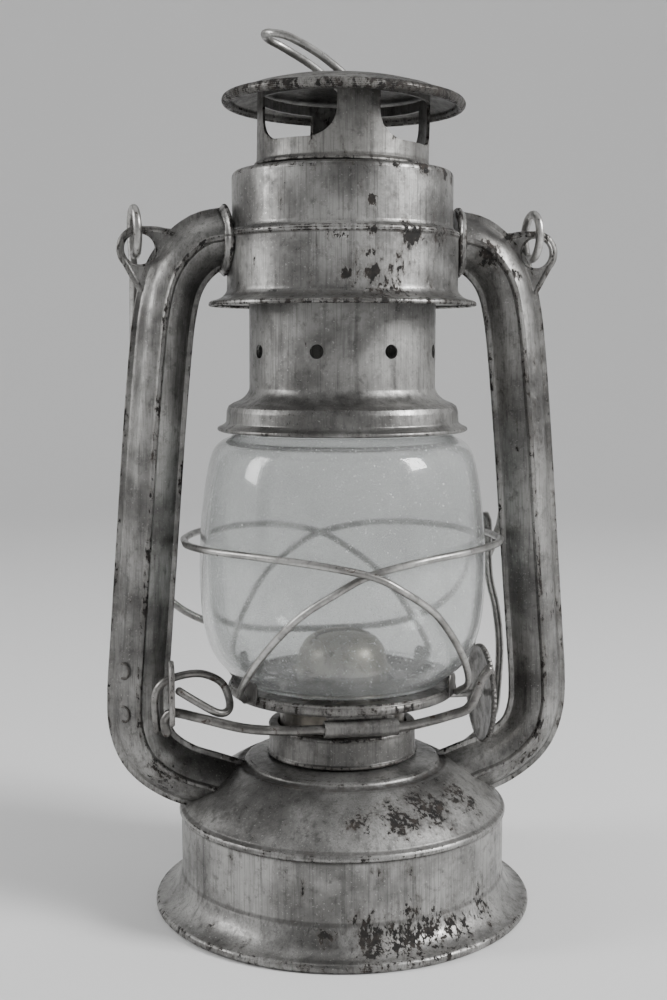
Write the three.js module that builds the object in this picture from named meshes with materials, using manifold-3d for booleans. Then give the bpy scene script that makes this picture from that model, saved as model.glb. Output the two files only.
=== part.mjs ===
// Tubular barn lantern: a fuel tank with an air cover, two bent side tubes, an air chamber,
// a sliding hood, a glass globe on a lifting plate, a flat-wick burner and a wire bail.
// Millimetres, +Z up. The origin is the centre of the foot, on the ground. The side tubes
// stand on the X axis, the front faces -Y, and the wick wheel is on the +X side.
import * as THREE from "three";
import { mergeVertices } from "three/addons/utils/BufferGeometryUtils.js";
import Module from "manifold-3d";

const wasm = await Module();
wasm.setup();

// ---- driving dimensions ----
const gap = 0.3; // clearance between touching pieces
const sheet = 1.0; // thickness of the stamped sheet metal
const round = 32; // facets of a large turned piece
const smallRound = 24; // facets of a small one

const footRadius = 62;
const tankRadius = 53.3;
const tankWallBottom = 11.5;
const tankTop = 32.4;
const coverRingRadius = 32.9; // groove that runs round the burner seat
const coverRingHeight = 47.2;
const collarRadius = 24.3;
const collarBottom = 49.9;
const collarTop = 60;

const tubeHalfWidth = 10.4; // side tube with its seam flanges, across the frame
const tubeBodyHalfWidth = 7.8; // the same without the flanges
const tubeHalfDepth = 9.5; // side tube, front to back
const tubeWall = 1.1;

const plateRadius = 37.6;
const plateBottom = 70.4;
const plateTop = 74.2;
const globeBottom = 74.9;
const globeTop = 155.4;
const globeWall = 2.2;

const neckFlangeRadius = 40.5;
const neckFlangeBottom = 155.8;
const neckRadius = 30;
const neckTop = 206;

const chamberBottom = 195.2;
const chamberFlangeRadius = 43;
const chamberLowRadius = 37.1;
const chamberStep = 219;
const chamberHighRadius = 35.3;
const chamberTop = 237.8;

const chimneyRadius = 23;
const crownRadius = 27.3;
const crownBottom = chamberTop + gap;
const crownTop = 262.2; // just under the cap
const chimneyTop = 243.6;
const capRadius = 38.7;
const capRimBottom = 257.6;
const capTop = 267.2;
const hoodLean = THREE.MathUtils.degToRad(1.1); // the worn crown and cap sit a little out of level

const shaftY = -5.9;
const shaftZ = 68.6;
const wickWheelX = 47.2;
const wickWheelRadius = 16.4;

const earX = 64.3;
const earZ = 213.2;
const earRadius = 7.2;
const earHole = 4.8;
const pivotZ = earZ + (earRadius + earHole) / 2; // the bail turns about the top rim of the ear
const bailRadius = 1.35;
const bailHalfWidth = 64.8;
const bailShift = -1.4; // the bail has slid a little to the left in its ears
const bailDrop = 145;
const bailRestAngle = THREE.MathUtils.degToRad(18); // from straight down, towards the back

const liftAxisY = -34;
const liftAxisZ = 66.4;

// ---- materials ----
const metal = (color, roughness, metalness) =>
  new THREE.MeshStandardMaterial({ color, roughness, metalness });
const paint = metal(0x9c9a95, 0.5, 0.55);
const wornPaint = metal(0x86837d, 0.6, 0.5);
const wireSteel = metal(0x8e8c88, 0.4, 0.85);
const brass = metal(0x8f8264, 0.45, 0.85);
const cotton = metal(0xcfc6b0, 0.95, 0);
const rubber = metal(0x2a2725, 0.8, 0);
const glass = metal(0xdfe6e4, 0.08, 0);

const lantern = new THREE.Group();

// ---- helpers ----
// A closed geometry as a manifold solid, turned right side out if its faces point inwards.
function solidOf(geometry) {
  const bare = geometry.index ? geometry.toNonIndexed() : geometry.clone();
  bare.deleteAttribute("normal");
  bare.deleteAttribute("uv");
  const merged = mergeVertices(bare, 1e-4);
  const build = (triVerts) =>
    new wasm.Manifold(
      new wasm.Mesh({
        numProp: 3,
        vertProperties: merged.attributes.position.array,
        triVerts,
      }),
    );
  const made = build(new Uint32Array(merged.index.array));
  return made.volume() > 0 ? made : build(new Uint32Array(merged.index.array).reverse());
}

function geometryOf(solid) {
  const mesh = solid.getMesh();
  const geometry = new THREE.BufferGeometry();
  geometry.setAttribute("position", new THREE.BufferAttribute(mesh.vertProperties, 3));
  geometry.setIndex(new THREE.BufferAttribute(mesh.triVerts, 1));
  geometry.computeVertexNormals();
  return geometry;
}

// Adds one named piece to a group.
function add(name, solid, material, parent = lantern) {
  const mesh = new THREE.Mesh(geometryOf(solid), material);
  mesh.name = name;
  parent.add(mesh);
  return mesh;
}

// A turned solid. The profile is a closed list of [radius, height] pairs.
function turned(profile, facets = round) {
  const points = profile.map(([r, z]) => new THREE.Vector2(r, z));
  points.push(points[0].clone());
  return solidOf(new THREE.LatheGeometry(points, facets).rotateX(Math.PI / 2));
}

// A turned sheet-metal shell: the outer profile, and the same profile moved inwards.
function turnedSheet(profile, thickness = sheet, facets = round) {
  const inner = profile.map(([r, z], i) => {
    const [r0, z0] = profile[Math.max(i - 1, 0)];
    const [r1, z1] = profile[Math.min(i + 1, profile.length - 1)];
    const length = Math.hypot(r1 - r0, z1 - z0);
    return [r - ((z1 - z0) / length) * thickness, z + ((r1 - r0) / length) * thickness];
  });
  return turned([...profile, ...inner.reverse()], facets);
}

function cylinder(radius, length, axis = "z", facets = 24) {
  const geometry = new THREE.CylinderGeometry(radius, radius, length, facets);
  if (axis === "z") geometry.rotateX(Math.PI / 2);
  if (axis === "x") geometry.rotateZ(Math.PI / 2);
  return solidOf(geometry);
}

const box = (x, y, z) => solidOf(new THREE.BoxGeometry(x, y, z));

function circleShape(radius, sides) {
  const shape = new THREE.Shape();
  for (let i = 0; i < sides; i++) {
    const a = (2 * Math.PI * (i + 0.5)) / sides;
    if (i === 0) shape.moveTo(radius * Math.cos(a), radius * Math.sin(a));
    else shape.lineTo(radius * Math.cos(a), radius * Math.sin(a));
  }
  shape.closePath();
  return shape;
}

const spline = (points, tension = 0.5) =>
  new THREE.CatmullRomCurve3(
    points.map((p) => new THREE.Vector3(...p)),
    false,
    "catmullrom",
    tension,
  );

// A round wire bent along a list of points.
function wire(points, radius, steps, sides = 8) {
  const geometry = new THREE.ExtrudeGeometry(circleShape(radius, sides), {
    steps,
    bevelEnabled: false,
    extrudePath: spline(points),
  });
  return solidOf(geometry);
}

// A flat outline of [x, y] pairs with thickness, standing on Z = 0.
function plate(outline, thickness, holes = []) {
  const shape = new THREE.Shape(outline.map(([x, y]) => new THREE.Vector2(x, y)));
  shape.holes = holes;
  return solidOf(
    new THREE.ExtrudeGeometry(shape, { depth: thickness, bevelEnabled: false }),
  );
}

const mirrored = (points) => points.map(([x, y, z]) => [-x, y, z]);
const polar = (radius, angle, z) => [radius * Math.cos(angle), radius * Math.sin(angle), z];

// ---- fuel tank ----
// Rolled foot, flared skirt and wall in one stamping, with the tank floor set above the ground.
function makeTank() {
  const footAndWall = turned([
    [footRadius - 1.6, 0],
    [footRadius - 0.3, 0.5],
    [footRadius, 1.4],
    [footRadius - 0.6, 2.6],
    [footRadius - 2.0, 3.0],
    [footRadius - 3.4, 4.6],
    [tankRadius + 2.2, 9.6],
    [tankRadius + 0.5, tankWallBottom - 0.4],
    [tankRadius, tankWallBottom + 1.0],
    [tankRadius, tankTop - 1.6],
    [tankRadius - sheet, tankTop - 1.6],
    [tankRadius - sheet, tankWallBottom - 1.5],
    [0, tankWallBottom - 1.5],
    [0, tankWallBottom - 2.7],
    [tankRadius - 0.5, tankWallBottom - 2.7],
    [footRadius - 4.6, 3.6],
    [footRadius - 3.0, 1.6],
    [footRadius - 3.0, 0],
  ]);
  add("tank_shell", footAndWall, paint);

  const lid = cylinder(tankRadius - sheet - gap, 1.2, "z", round)
    .translate([0, 0, tankTop - 4.4])
    .subtract(box(21, 5, 6).translate([0, 0, tankTop - 4]))
    .subtract(cylinder(9.4, 6, "z", 24).translate([0, 38, tankTop - 4]));
  add("tank_lid", lid, wornPaint);
}

// The cone that covers the air space over the tank and carries the burner seat.
const coverProfile = [
  [tankRadius + 0.5, tankTop - 1.3],
  [tankRadius + 0.6, tankTop - 0.2],
  [tankRadius - 1.6, tankTop + 2.2],
  [coverRingRadius + 2.0, coverRingHeight - 0.6],
  [coverRingRadius, coverRingHeight - 0.5],
  [coverRingRadius - 1.2, coverRingHeight + 0.9],
  [collarRadius + 0.6, collarBottom - 0.5],
  [collarRadius - 3, collarBottom - 0.4],
];

// Everything under the cover, grown by a gap, to cut the lower ends of the side tubes.
function coverCutter() {
  const grown = coverProfile.map(([r, z]) => [r + gap, z + gap]);
  return turned([[0, 0], [tankRadius + 0.5 + gap, 0], ...grown, [0, collarBottom]]);
}

// ---- side tubes ----
const tubeRoute = [
  [30, 217.2],
  [37, 216.6],
  [44, 215.0],
  [50.0, 210.0],
  [54.2, 203.0],
  [56.5, 194],
  [58.1, 182],
  [60.5, 156],
  [63.3, 120],
  [65.6, 90],
  [66.9, 72],
  [66.4, 61],
  [62.6, 52.0],
  [54.0, 45.2],
  [43, 41.0],
  [33, 37.4],
];

// A quarter of the tube's section, from the front ridge round to the seam flange at the side:
// [depth, width].
const tubeCorners = [
  [tubeHalfDepth, 0.8],
  [tubeHalfDepth - 1.2, 1.6],
  [tubeHalfDepth - 3.5, 5.4],
  [1.0, tubeBodyHalfWidth],
  [0.9, tubeHalfWidth],
];

function tubeSection(cornerList, halfWidth) {
  const quarter = cornerList;
  const outline = [
    ...quarter,
    [0, halfWidth],
    ...[...quarter].reverse().map(([d, w]) => [-d, w]),
    ...quarter.map(([d, w]) => [-d, -w]),
    [0, -halfWidth],
    ...[...quarter].reverse().map(([d, w]) => [d, -w]),
  ];
  return new THREE.Shape(outline.map(([d, w]) => new THREE.Vector2(d, w)));
}

function tubeSolid(shape, side) {
  const curve = spline(tubeRoute.map(([x, z]) => [side * x, 0, z]));
  return solidOf(
    new THREE.ExtrudeGeometry(shape, { steps: 22, bevelEnabled: false, extrudePath: curve }),
  );
}

const outerTube = (side) => tubeSolid(tubeSection(tubeCorners, tubeHalfWidth), side);
function boreTube(side) {
  const corners = [
    [tubeHalfDepth - tubeWall - 1.2, 1.2],
    [tubeHalfDepth - tubeWall - 3.6, 4.4],
  ];
  return tubeSolid(tubeSection(corners, tubeBodyHalfWidth - tubeWall - 0.5), side);
}

// A cylinder of the chamber's outer wall, grown by a gap, to cut the upper ends of the tubes.
const chamberCutter = () =>
  cylinder(chamberLowRadius + gap, 60, "z", round).translate([0, 0, 215]);

function makeFrame() {
  const cover = turnedSheet(coverProfile);
  const bores = { left: boreTube(-1), right: boreTube(1) };
  let openCover = cover.subtract(cylinder(8.8, 40, "z", 24).translate([0, 38, tankTop + 10]));
  let chamber = makeChamberSolid();
  for (const side of ["left", "right"]) {
    const sign = side === "left" ? -1 : 1;
    const tube = outerTube(sign)
      .subtract(bores[side])
      .subtract(coverCutter())
      .subtract(chamberCutter());
    add("side_tube_" + side, tube, paint);
    openCover = openCover.subtract(bores[side]);
    chamber = chamber.subtract(bores[side]);
    makeSleeve(side, sign);
    makeEar(side, sign);
  }
  add("air_cover", openCover, paint);
  add("air_chamber", chamber, paint);
}

// ---- air chamber ----
function makeChamberSolid() {
  return turnedSheet([
    [chamberFlangeRadius - 1.6, chamberBottom + 0.9],
    [chamberFlangeRadius, chamberBottom + 0.4],
    [chamberFlangeRadius - 0.4, chamberBottom + 1.9],
    [chamberLowRadius + 0.8, chamberBottom + 3.8],
    [chamberLowRadius, chamberBottom + 5.4],
    [chamberLowRadius, chamberStep - 1.6],
    [chamberHighRadius, chamberStep + 1.6],
    [chamberHighRadius, chamberTop - 1.8],
    [chamberHighRadius - 1.8, chamberTop],
    [chimneyRadius + 1.2, chamberTop],
  ]);
}

// A crimped flange where each tube enters the chamber.
function makeSleeve(side, sign) {
  const sleeve = cylinder(11.2, 5.0, "x", 20)
    .translate([sign * 36.9, 0, 216.2])
    .subtract(tubeSolid(tubeSection(grownCorners(), tubeHalfWidth + gap), sign))
    .subtract(chamberCutter());
  add("tube_sleeve_" + side, sleeve, paint);
}

const grownCorners = () => tubeCorners.map(([d, w]) => [d + gap, w + gap]);

// ---- bail ears ----
function makeEar(side, sign) {
  const outline = [];
  const arcSteps = 9;
  for (let i = 0; i <= arcSteps; i++) {
    const a = THREE.MathUtils.degToRad(-42 + (142 * i) / arcSteps);
    outline.push([earX + earRadius * Math.cos(a), earZ + earRadius * Math.sin(a)]);
  }
  outline.push([54, 219.5]);
  outline.push([48, 214]);
  outline.push([58, 200]);
  outline.push([63.9, 201.0]);
  const hole = new THREE.Path();
  const holeSides = 16;
  for (let i = 0; i < holeSides; i++) {
    const a = (-2 * Math.PI * i) / holeSides;
    const at = [earX + earHole * Math.cos(a), earZ + earHole * Math.sin(a)];
    if (i === 0) hole.moveTo(...at);
    else hole.lineTo(...at);
  }
  hole.closePath();
  const thickness = 1.5;
  let ear = plate(outline, thickness, [hole])
    .translate([0, 0, -thickness / 2])
    .rotate([90, 0, 0]);
  if (sign < 0) ear = ear.mirror([1, 0, 0]);
  ear = ear
    .subtract(tubeSolid(tubeSection(grownCorners(), tubeHalfWidth + gap), sign))
    .subtract(cylinder(tubeHalfWidth, 40, "y").translate([sign * 45, 0, 205]));
  const pieces = ear.decompose().sort((a, b) => b.volume() - a.volume());
  add("bail_ear_" + side, pieces[0], paint);
}

// ---- fuel filler, on the back of the tank ----
function makeFiller() {
  const filler = new THREE.Group();
  filler.position.set(0, 38, 0);
  lantern.add(filler);
  const neckBase = tankTop - 3.4;
  const neckEnd = 53;
  const neck = turned(
    [[8.2, neckBase], [8.2, neckEnd], [7, neckEnd], [7, neckBase - 2], [8, neckBase - 2]],
    24,
  );
  add("filler_neck", neck, brass, filler);
  const gasket = turned(
    [[8.4, neckEnd + gap], [8.4, neckEnd + 1.5], [5, neckEnd + 1.5], [5, neckEnd + gap]],
    24,
  );
  add("filler_gasket", gasket, rubber, filler);
  const shell = turned(
    [
      [0, neckEnd + 1.8],
      [9.0, neckEnd + 1.8],
      [9.0, neckEnd - 4],
      [10.4, neckEnd - 4],
      [10.4, neckEnd + 2.2],
      [9.2, neckEnd + 3.4],
      [0, neckEnd + 3.8],
    ],
    24,
  );
  let cap = shell;
  const flutes = 8;
  for (let i = 0; i < flutes; i++) {
    const [x, y] = polar(10.9, (2 * Math.PI * i) / flutes, 0);
    cap = cap.subtract(cylinder(1.0, 20, "z", 8).translate([x, y, neckEnd]));
  }
  add("filler_cap", cap, brass, filler);
}

// ---- burner ----
function makeBurner() {
  const collar = turned([
    [collarRadius, collarBottom],
    [collarRadius, collarTop - 0.8],
    [collarRadius - 0.8, collarTop],
    [collarRadius - 3, collarTop],
    [collarRadius - 3, collarBottom + 1.2],
    [12, collarBottom + 1.2],
    [12, collarBottom],
  ], smallRound);
  add("burner_collar", collar, brass);

  const cupTop = 70.8;
  const cup = turned([
    [15.2, collarBottom + 1.5],
    [20.6, collarBottom + 1.5],
    [20.6, cupTop - 3],
    [21.6, cupTop],
    [20.6, cupTop],
    [19.6, cupTop - 2.6],
    [19.6, collarBottom + 2.6],
    [15.2, collarBottom + 2.6],
  ], smallRound);
  const shaftHole = cylinder(1.25, 30, "x", 16).translate([20, shaftY, shaftZ]);
  let opened = cup.subtract(shaftHole);
  const vents = 10;
  for (let i = 0; i < vents; i++) {
    const a = (2 * Math.PI * (i + 0.5)) / vents;
    const vent = cylinder(1.7, 6, "x", 8)
      .rotate([0, 0, THREE.MathUtils.radToDeg(a)])
      .translate(polar(20, a, 57.5));
    opened = opened.subtract(vent);
  }
  add("burner_cup", opened, brass);

  // Flat wick tube with two slots for the sprockets.
  const tubeBottom = 40;
  const tubeTop = 85.5;
  const tubeMiddle = (tubeBottom + tubeTop) / 2;
  const tubeLength = tubeTop - tubeBottom;
  let wickTube = box(19.4, 5.2, tubeLength).subtract(box(17.8, 3.6, tubeLength + 2));
  wickTube = wickTube.translate([0, 0, tubeMiddle]);
  const flange = cylinder(14.6, 1.2, "z", 32)
    .subtract(box(17.8, 3.6, 4))
    .translate([0, 0, collarBottom + 2.0]);
  wickTube = wickTube.add(flange);
  for (const x of sprocketPlaces) {
    wickTube = wickTube.subtract(box(2.6, 3, 10).translate([x, -2.6, shaftZ]));
  }
  add("wick_tube", wickTube, brass);

  const wickBottom = 13;
  const wickTop = 88;
  const wick = box(16.8, 2.6, wickTop - wickBottom);
  add("wick", wick.translate([0, 0, (wickTop + wickBottom) / 2]), cotton);

  // The domed cone over the wick, slotted for the flame.
  const dome = turned([
    [16.6, 76.6],
    [16.6, 77.4],
    [15.1, 78.2],
    [14.6, 81.2],
    [12.2, 86.0],
    [7.0, 89.4],
    [0, 90.6],
    [0, 89.7],
    [6.8, 88.5],
    [11.5, 85.4],
    [13.7, 81.0],
    [14.2, 70.0],
    [15.2, 70.0],
    [15.2, 76.6],
  ], smallRound);
  const slot = box(18.6, 5.4, 16).translate([0, 0, 90]);
  add("burner_cone", dome.subtract(slot), brass);
}

const sprocketPlaces = [-4.2, 4.2];

function makeWickDrive() {
  const shaftEnd = wickWheelX - 1.4;
  const shaftStart = -8;
  const shaft = cylinder(1.2, shaftEnd - shaftStart, "x", 12);
  const shaftMiddle = (shaftStart + shaftEnd) / 2;
  add("wick_shaft", shaft.translate([shaftMiddle, shaftY, shaftZ]), wireSteel);

  // Toothed wheels that grip the wick.
  const teeth = 10;
  const outline = [];
  for (let i = 0; i < teeth; i++) {
    const a = (2 * Math.PI * i) / teeth;
    const half = Math.PI / teeth;
    outline.push([4.2 * Math.cos(a), 4.2 * Math.sin(a)]);
    outline.push([3.3 * Math.cos(a + half), 3.3 * Math.sin(a + half)]);
  }
  const bore = new THREE.Path().absarc(0, 0, 1.5, 0, 2 * Math.PI, true);
  sprocketPlaces.forEach((x, i) => {
    const sprocket = plate(outline, 1.6, [bore])
      .translate([0, 0, -0.8])
      .rotate([0, 90, 0])
      .translate([x, shaftY, shaftZ]);
    add("wick_sprocket_" + (i + 1), sprocket, brass);
  });

  // Dished thumb wheel with a milled edge.
  const r = wickWheelRadius;
  const dish = turned(
    [
      [0, 0.4],
      [5, 0.4],
      [r - 2.4, -0.5],
      [r - 0.6, -1.0],
      [r, -0.2],
      [r - 0.4, 0.8],
      [r - 2.2, 0.7],
      [5, 1.7],
      [0, 1.7],
    ],
    smallRound,
  );
  let wheel = dish;
  const notches = 12;
  for (let i = 0; i < notches; i++) {
    const [x, y] = polar(r + 0.5, (2 * Math.PI * i) / notches, 0);
    wheel = wheel.subtract(cylinder(0.9, 6, "z", 6).translate([x, y, 0]));
  }
  wheel = wheel.rotate([0, 90, 0]).translate([wickWheelX - 1.2, shaftY, shaftZ]);
  add("wick_wheel", wheel, wornPaint);
}

// ---- globe, its plate and its wire guard ----
function makeGlobeCarriage() {
  const plateProfile = [
    [17.6, 71.2],
    [30, 71.2],
    [33.4, plateBottom],
    [plateRadius - 0.8, plateBottom],
    [plateRadius, plateBottom + 1.1],
    [plateRadius, plateTop - 1],
    [plateRadius - 1, plateTop],
    [plateRadius - 2, plateTop - 0.9],
    [plateRadius - 2.2, 72.4],
    [30, 72.4],
    [17.6, 72.4],
  ];
  let disc = turned(plateProfile);
  const vents = 14;
  for (let i = 0; i < vents; i++) {
    const place = polar(24.5, (2 * Math.PI * i) / vents, 72);
    disc = disc.subtract(cylinder(2.4, 8, "z", 8).translate(place));
  }
  add("globe_plate", disc, paint);

  // Rolled tab under the front of the plate that wraps the lifting wire.
  const knuckle = cylinder(2.7, 23, "x", 16)
    .subtract(cylinder(1.95, 30, "x", 16))
    .translate([0, liftAxisY, liftAxisZ]);
  const leaf = box(21, 5.4, 1.0).translate([0, liftAxisY + 2.9, liftAxisZ + 3.1]);
  add("plate_knuckle", knuckle.add(leaf).subtract(cylinder(1.95, 30, "x", 16)
    .translate([0, liftAxisY, liftAxisZ])), paint);

  makeGlobe();
  makeGuard();
}

// Barrel-shaped glass globe, open at both ends.
function makeGlobe() {
  const outer = [
    [32.8, globeBottom],
    [34.8, 76.4],
    [39.4, 80.2],
    [43.0, 85.6],
    [45.4, 94.0],
    [46.5, 106],
    [46.3, 120],
    [45.0, 135],
    [42.4, 148],
    [39.0, 152.4],
    [35.4, globeTop],
  ];
  add("globe", turnedSheet(outer, globeWall, round), glass);
}

// Two wires that cross in front of the globe and behind it, and loop round beside the tubes.
function makeGuard() {
  const frontLeft = [
    [-34.2, -18.6, 72.6],
    [-36.2, -25.6, 77.4],
    [-31.2, -34.4, 89.0],
    [-21.4, -43.6, 102.4],
    [-10.0, -48.4, 111.0],
    [0.0, -49.2, 116.2],
    [16.0, -46.8, 119.6],
    [32.0, -38.4, 120.8],
    [44.6, -24.0, 120.8],
    [50.6, -9.6, 120.6],
    [51.2, 0, 120.5],
  ];
  const wireRadius = 1.15;
  const crossing = 2 * wireRadius + gap;
  // Near the middle the second wire stands out, to pass in front of the first.
  const crossOver = (points) =>
    points.map(([x, y, z]) => {
      const out = Math.abs(x) < 20 ? crossing : 0;
      return [x, y + Math.sign(y) * out, z];
    });
  // The back half is the front half turned half a turn about the vertical axis.
  const turnedBack = (points) => points.map(([x, y, z]) => [-x, -y, z]);
  const backHalf = (points) => [...mirrored(turnedBack(points))].reverse();
  const first = [...frontLeft, ...backHalf(frontLeft).slice(1)];
  add("guard_wire_1", wire(first, wireRadius, 44, 6), wireSteel);
  const second = mirrored(crossOver(first));
  add("guard_wire_2", wire(second, wireRadius, 44, 6), wireSteel);
}

// ---- lifting lever ----
function makeLiftLever() {
  const wireRadius = 1.55;
  const route = [
    [-58.6, -20.5, 63.6],
    [-59.4, -20.2, 67.4],
    [-57.0, -20.6, 70.2],
    [-49.0, -23.6, 69.0],
    [-36.0, -30.4, 67.0],
    [-24.0, -33.6, 66.5],
    [-14, liftAxisY, liftAxisZ],
    [0, liftAxisY, liftAxisZ],
    [14, liftAxisY, liftAxisZ],
    [21.5, liftAxisY - 3, 68.6],
    [27.0, liftAxisY - 5, 70.6],
    [32.0, liftAxisY - 5.6, 72.4],
    [34.6, liftAxisY - 5.6, 76.4],
    [36.0, liftAxisY - 5.6, 80.6],
    [38.8, liftAxisY - 5.6, 84.8],
  ];
  add("lift_wire", wire(route, wireRadius, 42, 6), wireSteel);

  const loopRadius = 1.2;
  const loop = [
    [-55.2, -23.6, 77.8],
    [-49.4, -23.8, 74.0],
    [-43.0, -24.2, 70.4],
    [-39.6, -21.6, 70.6],
    [-39.2, -18.6, 73.4],
    [-41.6, -18.0, 78.6],
    [-48.0, -18.0, 81.6],
    [-55.6, -18.0, 80.8],
    [-60.6, -18.0, 78.2],
    [-62.2, -18.0, 73.4],
    [-61.6, -17.8, 64.2],
  ];
  add("finger_loop", wire(loop, loopRadius, 40, 6), wireSteel);

  // Flat thumb plate threaded on the finger loop.
  const outline = [
    [-25.6, 70.2],
    [-24.4, 67.2],
    [-21.6, 66.4],
    [-18.6, 71.0],
    [-16.4, 76.4],
    [-16.2, 81.6],
    [-18.2, 85.6],
    [-21.4, 86.6],
    [-24.6, 84.6],
    [-26.0, 80.0],
  ];
  const thickness = 1.7;
  const hole = cylinder(loopRadius + gap, 8, "x", 12).translate([-57, -18, 80.5]);
  const thumb = plate(outline, thickness)
    .rotate([90, 0, 90])
    .translate([-58, 0, 0])
    .subtract(hole)
    .subtract(wire(loop, loopRadius + gap, 40, 6))
    .subtract(wire(route, wireRadius + gap, 42, 6));
  add("thumb_plate", thumb, wornPaint);
}

// Upright rod behind the right tube that guides the guard as the globe rises.
function makeGuideRod() {
  const y = 13.2;
  const route = [
    [43.0, 16.0, 42.6],
    [50.0, 15.4, 48.0],
    [55.6, y, 56.0],
    [57.0, y, 66.0],
    [57.6, y, 80.0],
    [56.2, y, 93.0],
    [53.8, y, 103.0],
    [53.0, y, 112.0],
    [53.0, y, 122.0],
    [52.4, y + 1.6, 125.6],
  ];
  add("lift_guide_rod", wire(route, 1.4, 30, 6).subtract(coverCutter()), wireSteel);
}

// ---- hood: neck, chimney, spring, crown and cap ----
function makeHood() {
  let neck = turnedSheet([
    [neckFlangeRadius - 3.6, neckFlangeBottom + 0.2],
    [neckFlangeRadius - 0.4, neckFlangeBottom + 0.1],
    [neckFlangeRadius, neckFlangeBottom + 0.9],
    [neckFlangeRadius - 2.6, neckFlangeBottom + 1.9],
    [37.4, 159.2],
    [37.0, 163.6],
    [31.4, 167.2],
    [neckRadius, 169.4],
    [neckRadius, neckTop],
    [chimneyRadius + 1.4, neckTop],
  ]);
  const holes = 8;
  const firstHole = THREE.MathUtils.degToRad(20);
  for (let i = 0; i < holes; i++) {
    const a = firstHole + (2 * Math.PI * i) / holes;
    const hole = cylinder(2.2, 10, "x", 10)
      .rotate([0, 0, THREE.MathUtils.radToDeg(a)])
      .translate(polar(neckRadius, a, 181.4));
    neck = neck.subtract(hole);
  }
  add("globe_neck", neck, paint);

  const chimney = turned([
    [chimneyRadius, neckTop - 4],
    [chimneyRadius, chimneyTop],
    [chimneyRadius - sheet, chimneyTop],
    [chimneyRadius - sheet, neckTop - 4],
  ], smallRound);
  add("chimney_tube", chimney, wornPaint);

  // Coil spring that presses the hood down on the globe.
  const turns = 4;
  const stepsPerTurn = 12;
  const springBottom = neckTop + 2.0;
  const springTop = chamberTop - sheet - 2.2;
  const coil = [];
  for (let i = 0; i <= turns * stepsPerTurn; i++) {
    const t = i / (turns * stepsPerTurn);
    const z = springBottom + (springTop - springBottom) * t;
    coil.push(polar(chimneyRadius + 2.6, 2 * Math.PI * turns * t, z));
  }
  add("hood_spring", wire(coil, 0.9, turns * stepsPerTurn, 5), wireSteel);

  const leaning = new THREE.Group();
  leaning.position.z = crownBottom;
  leaning.rotation.y = hoodLean;
  lantern.add(leaning);
  makeCrown(leaning);
  makeCap(leaning);
}

// Crown with four windows, which leave four pillars between them.
function makeCrown(parent) {
  const bottom = 0.6;
  const sill = 7.3;
  const top = crownTop - crownBottom;
  const lintel = 21;
  let crown = turned([
    [crownRadius + 0.9, bottom],
    [crownRadius, bottom + 1.2],
    [crownRadius, top],
    [crownRadius - sheet, top],
    [crownRadius - sheet, bottom + 1.0],
    [chimneyRadius + 0.6, bottom + 1.0],
    [chimneyRadius + 0.6, bottom],
  ]);
  // One window, as [angle from its middle, height], with wide curves in its lower corners.
  const halfAngle = 31;
  const curveAngle = 19;
  const curveHeight = 8.2;
  const curveSteps = 4;
  const flank = [[halfAngle, lintel]];
  for (let i = 0; i <= curveSteps; i++) {
    const t = (Math.PI / 2) * (i / curveSteps);
    const angle = halfAngle - curveAngle * (1 - Math.cos(t));
    flank.push([angle, sill + curveHeight * (1 - Math.sin(t))]);
  }
  const across = ([angle, z]) => [crownRadius * Math.sin(THREE.MathUtils.degToRad(angle)), z];
  const right = flank.map(across);
  const window = [...right.map(([x, z]) => [-x, z]), ...[...right].reverse()];
  const windows = 4;
  for (let i = 0; i < windows; i++) {
    const middle = 45 + 90 * i;
    const cut = plate(window, crownRadius)
      .rotate([90, 0, 90])
      .rotate([0, 0, middle])
      .translate(polar(8, THREE.MathUtils.degToRad(middle), 0));
    crown = crown.subtract(cut);
  }
  add("hood_crown", crown, paint, parent);
}

// Shallow domed cap with a rolled rim and two slots for the lifting ring.
function makeCap(parent) {
  const base = capRimBottom - crownBottom;
  const top = capTop - crownBottom;
  const profile = [
    [capRadius - 2.2, base + 0.8],
    [capRadius - 0.8, base],
    [capRadius, base + 1.5],
    [capRadius - 1.0, base + 3.2],
    [capRadius - 4.4, base + 4.4],
    [28, base + 6.2],
    [18, top - 2.2],
    [10, top - 0.8],
    [0, top],
    [0, top - 1.1],
    [10, top - 1.9],
    [18, top - 3.3],
    [27.8, base + 5.1],
    [capRadius - 4.8, base + 3.3],
  ];
  let cap = turned(profile);
  for (const y of [-ringHalfWidth, ringHalfWidth]) {
    cap = cap.subtract(box(7.6, 3.6, 12).translate([0, y, top]));
  }
  add("hood_cap", cap, wornPaint, parent);

  // Lifting ring: a loop of wire whose feet turn in under the cap.
  const hinge = new THREE.Group();
  hinge.position.z = top - 1.9;
  parent.add(hinge);
  const h = ringHalfWidth;
  const foot = 4.4;
  const arm = [
    [1.6, -h + foot, -2.6],
    [0.9, -h + 0.9, -2.2],
    [0.0, -h, 0.0],
    [-9.0, -h, 6.7],
    [-18.4, -h + 0.8, 11.7],
    [-23.4, -h + 3.6, 13.3],
    [-25.2, -h + 7.0, 13.9],
  ];
  const otherArm = arm.map(([x, y, z]) => [x, -y, z]).reverse();
  const loop = [...arm, ...otherArm];
  add("lift_ring", wire(loop, 1.25, 36, 6), wireSteel, hinge);
}

const ringHalfWidth = 8.6;

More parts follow.
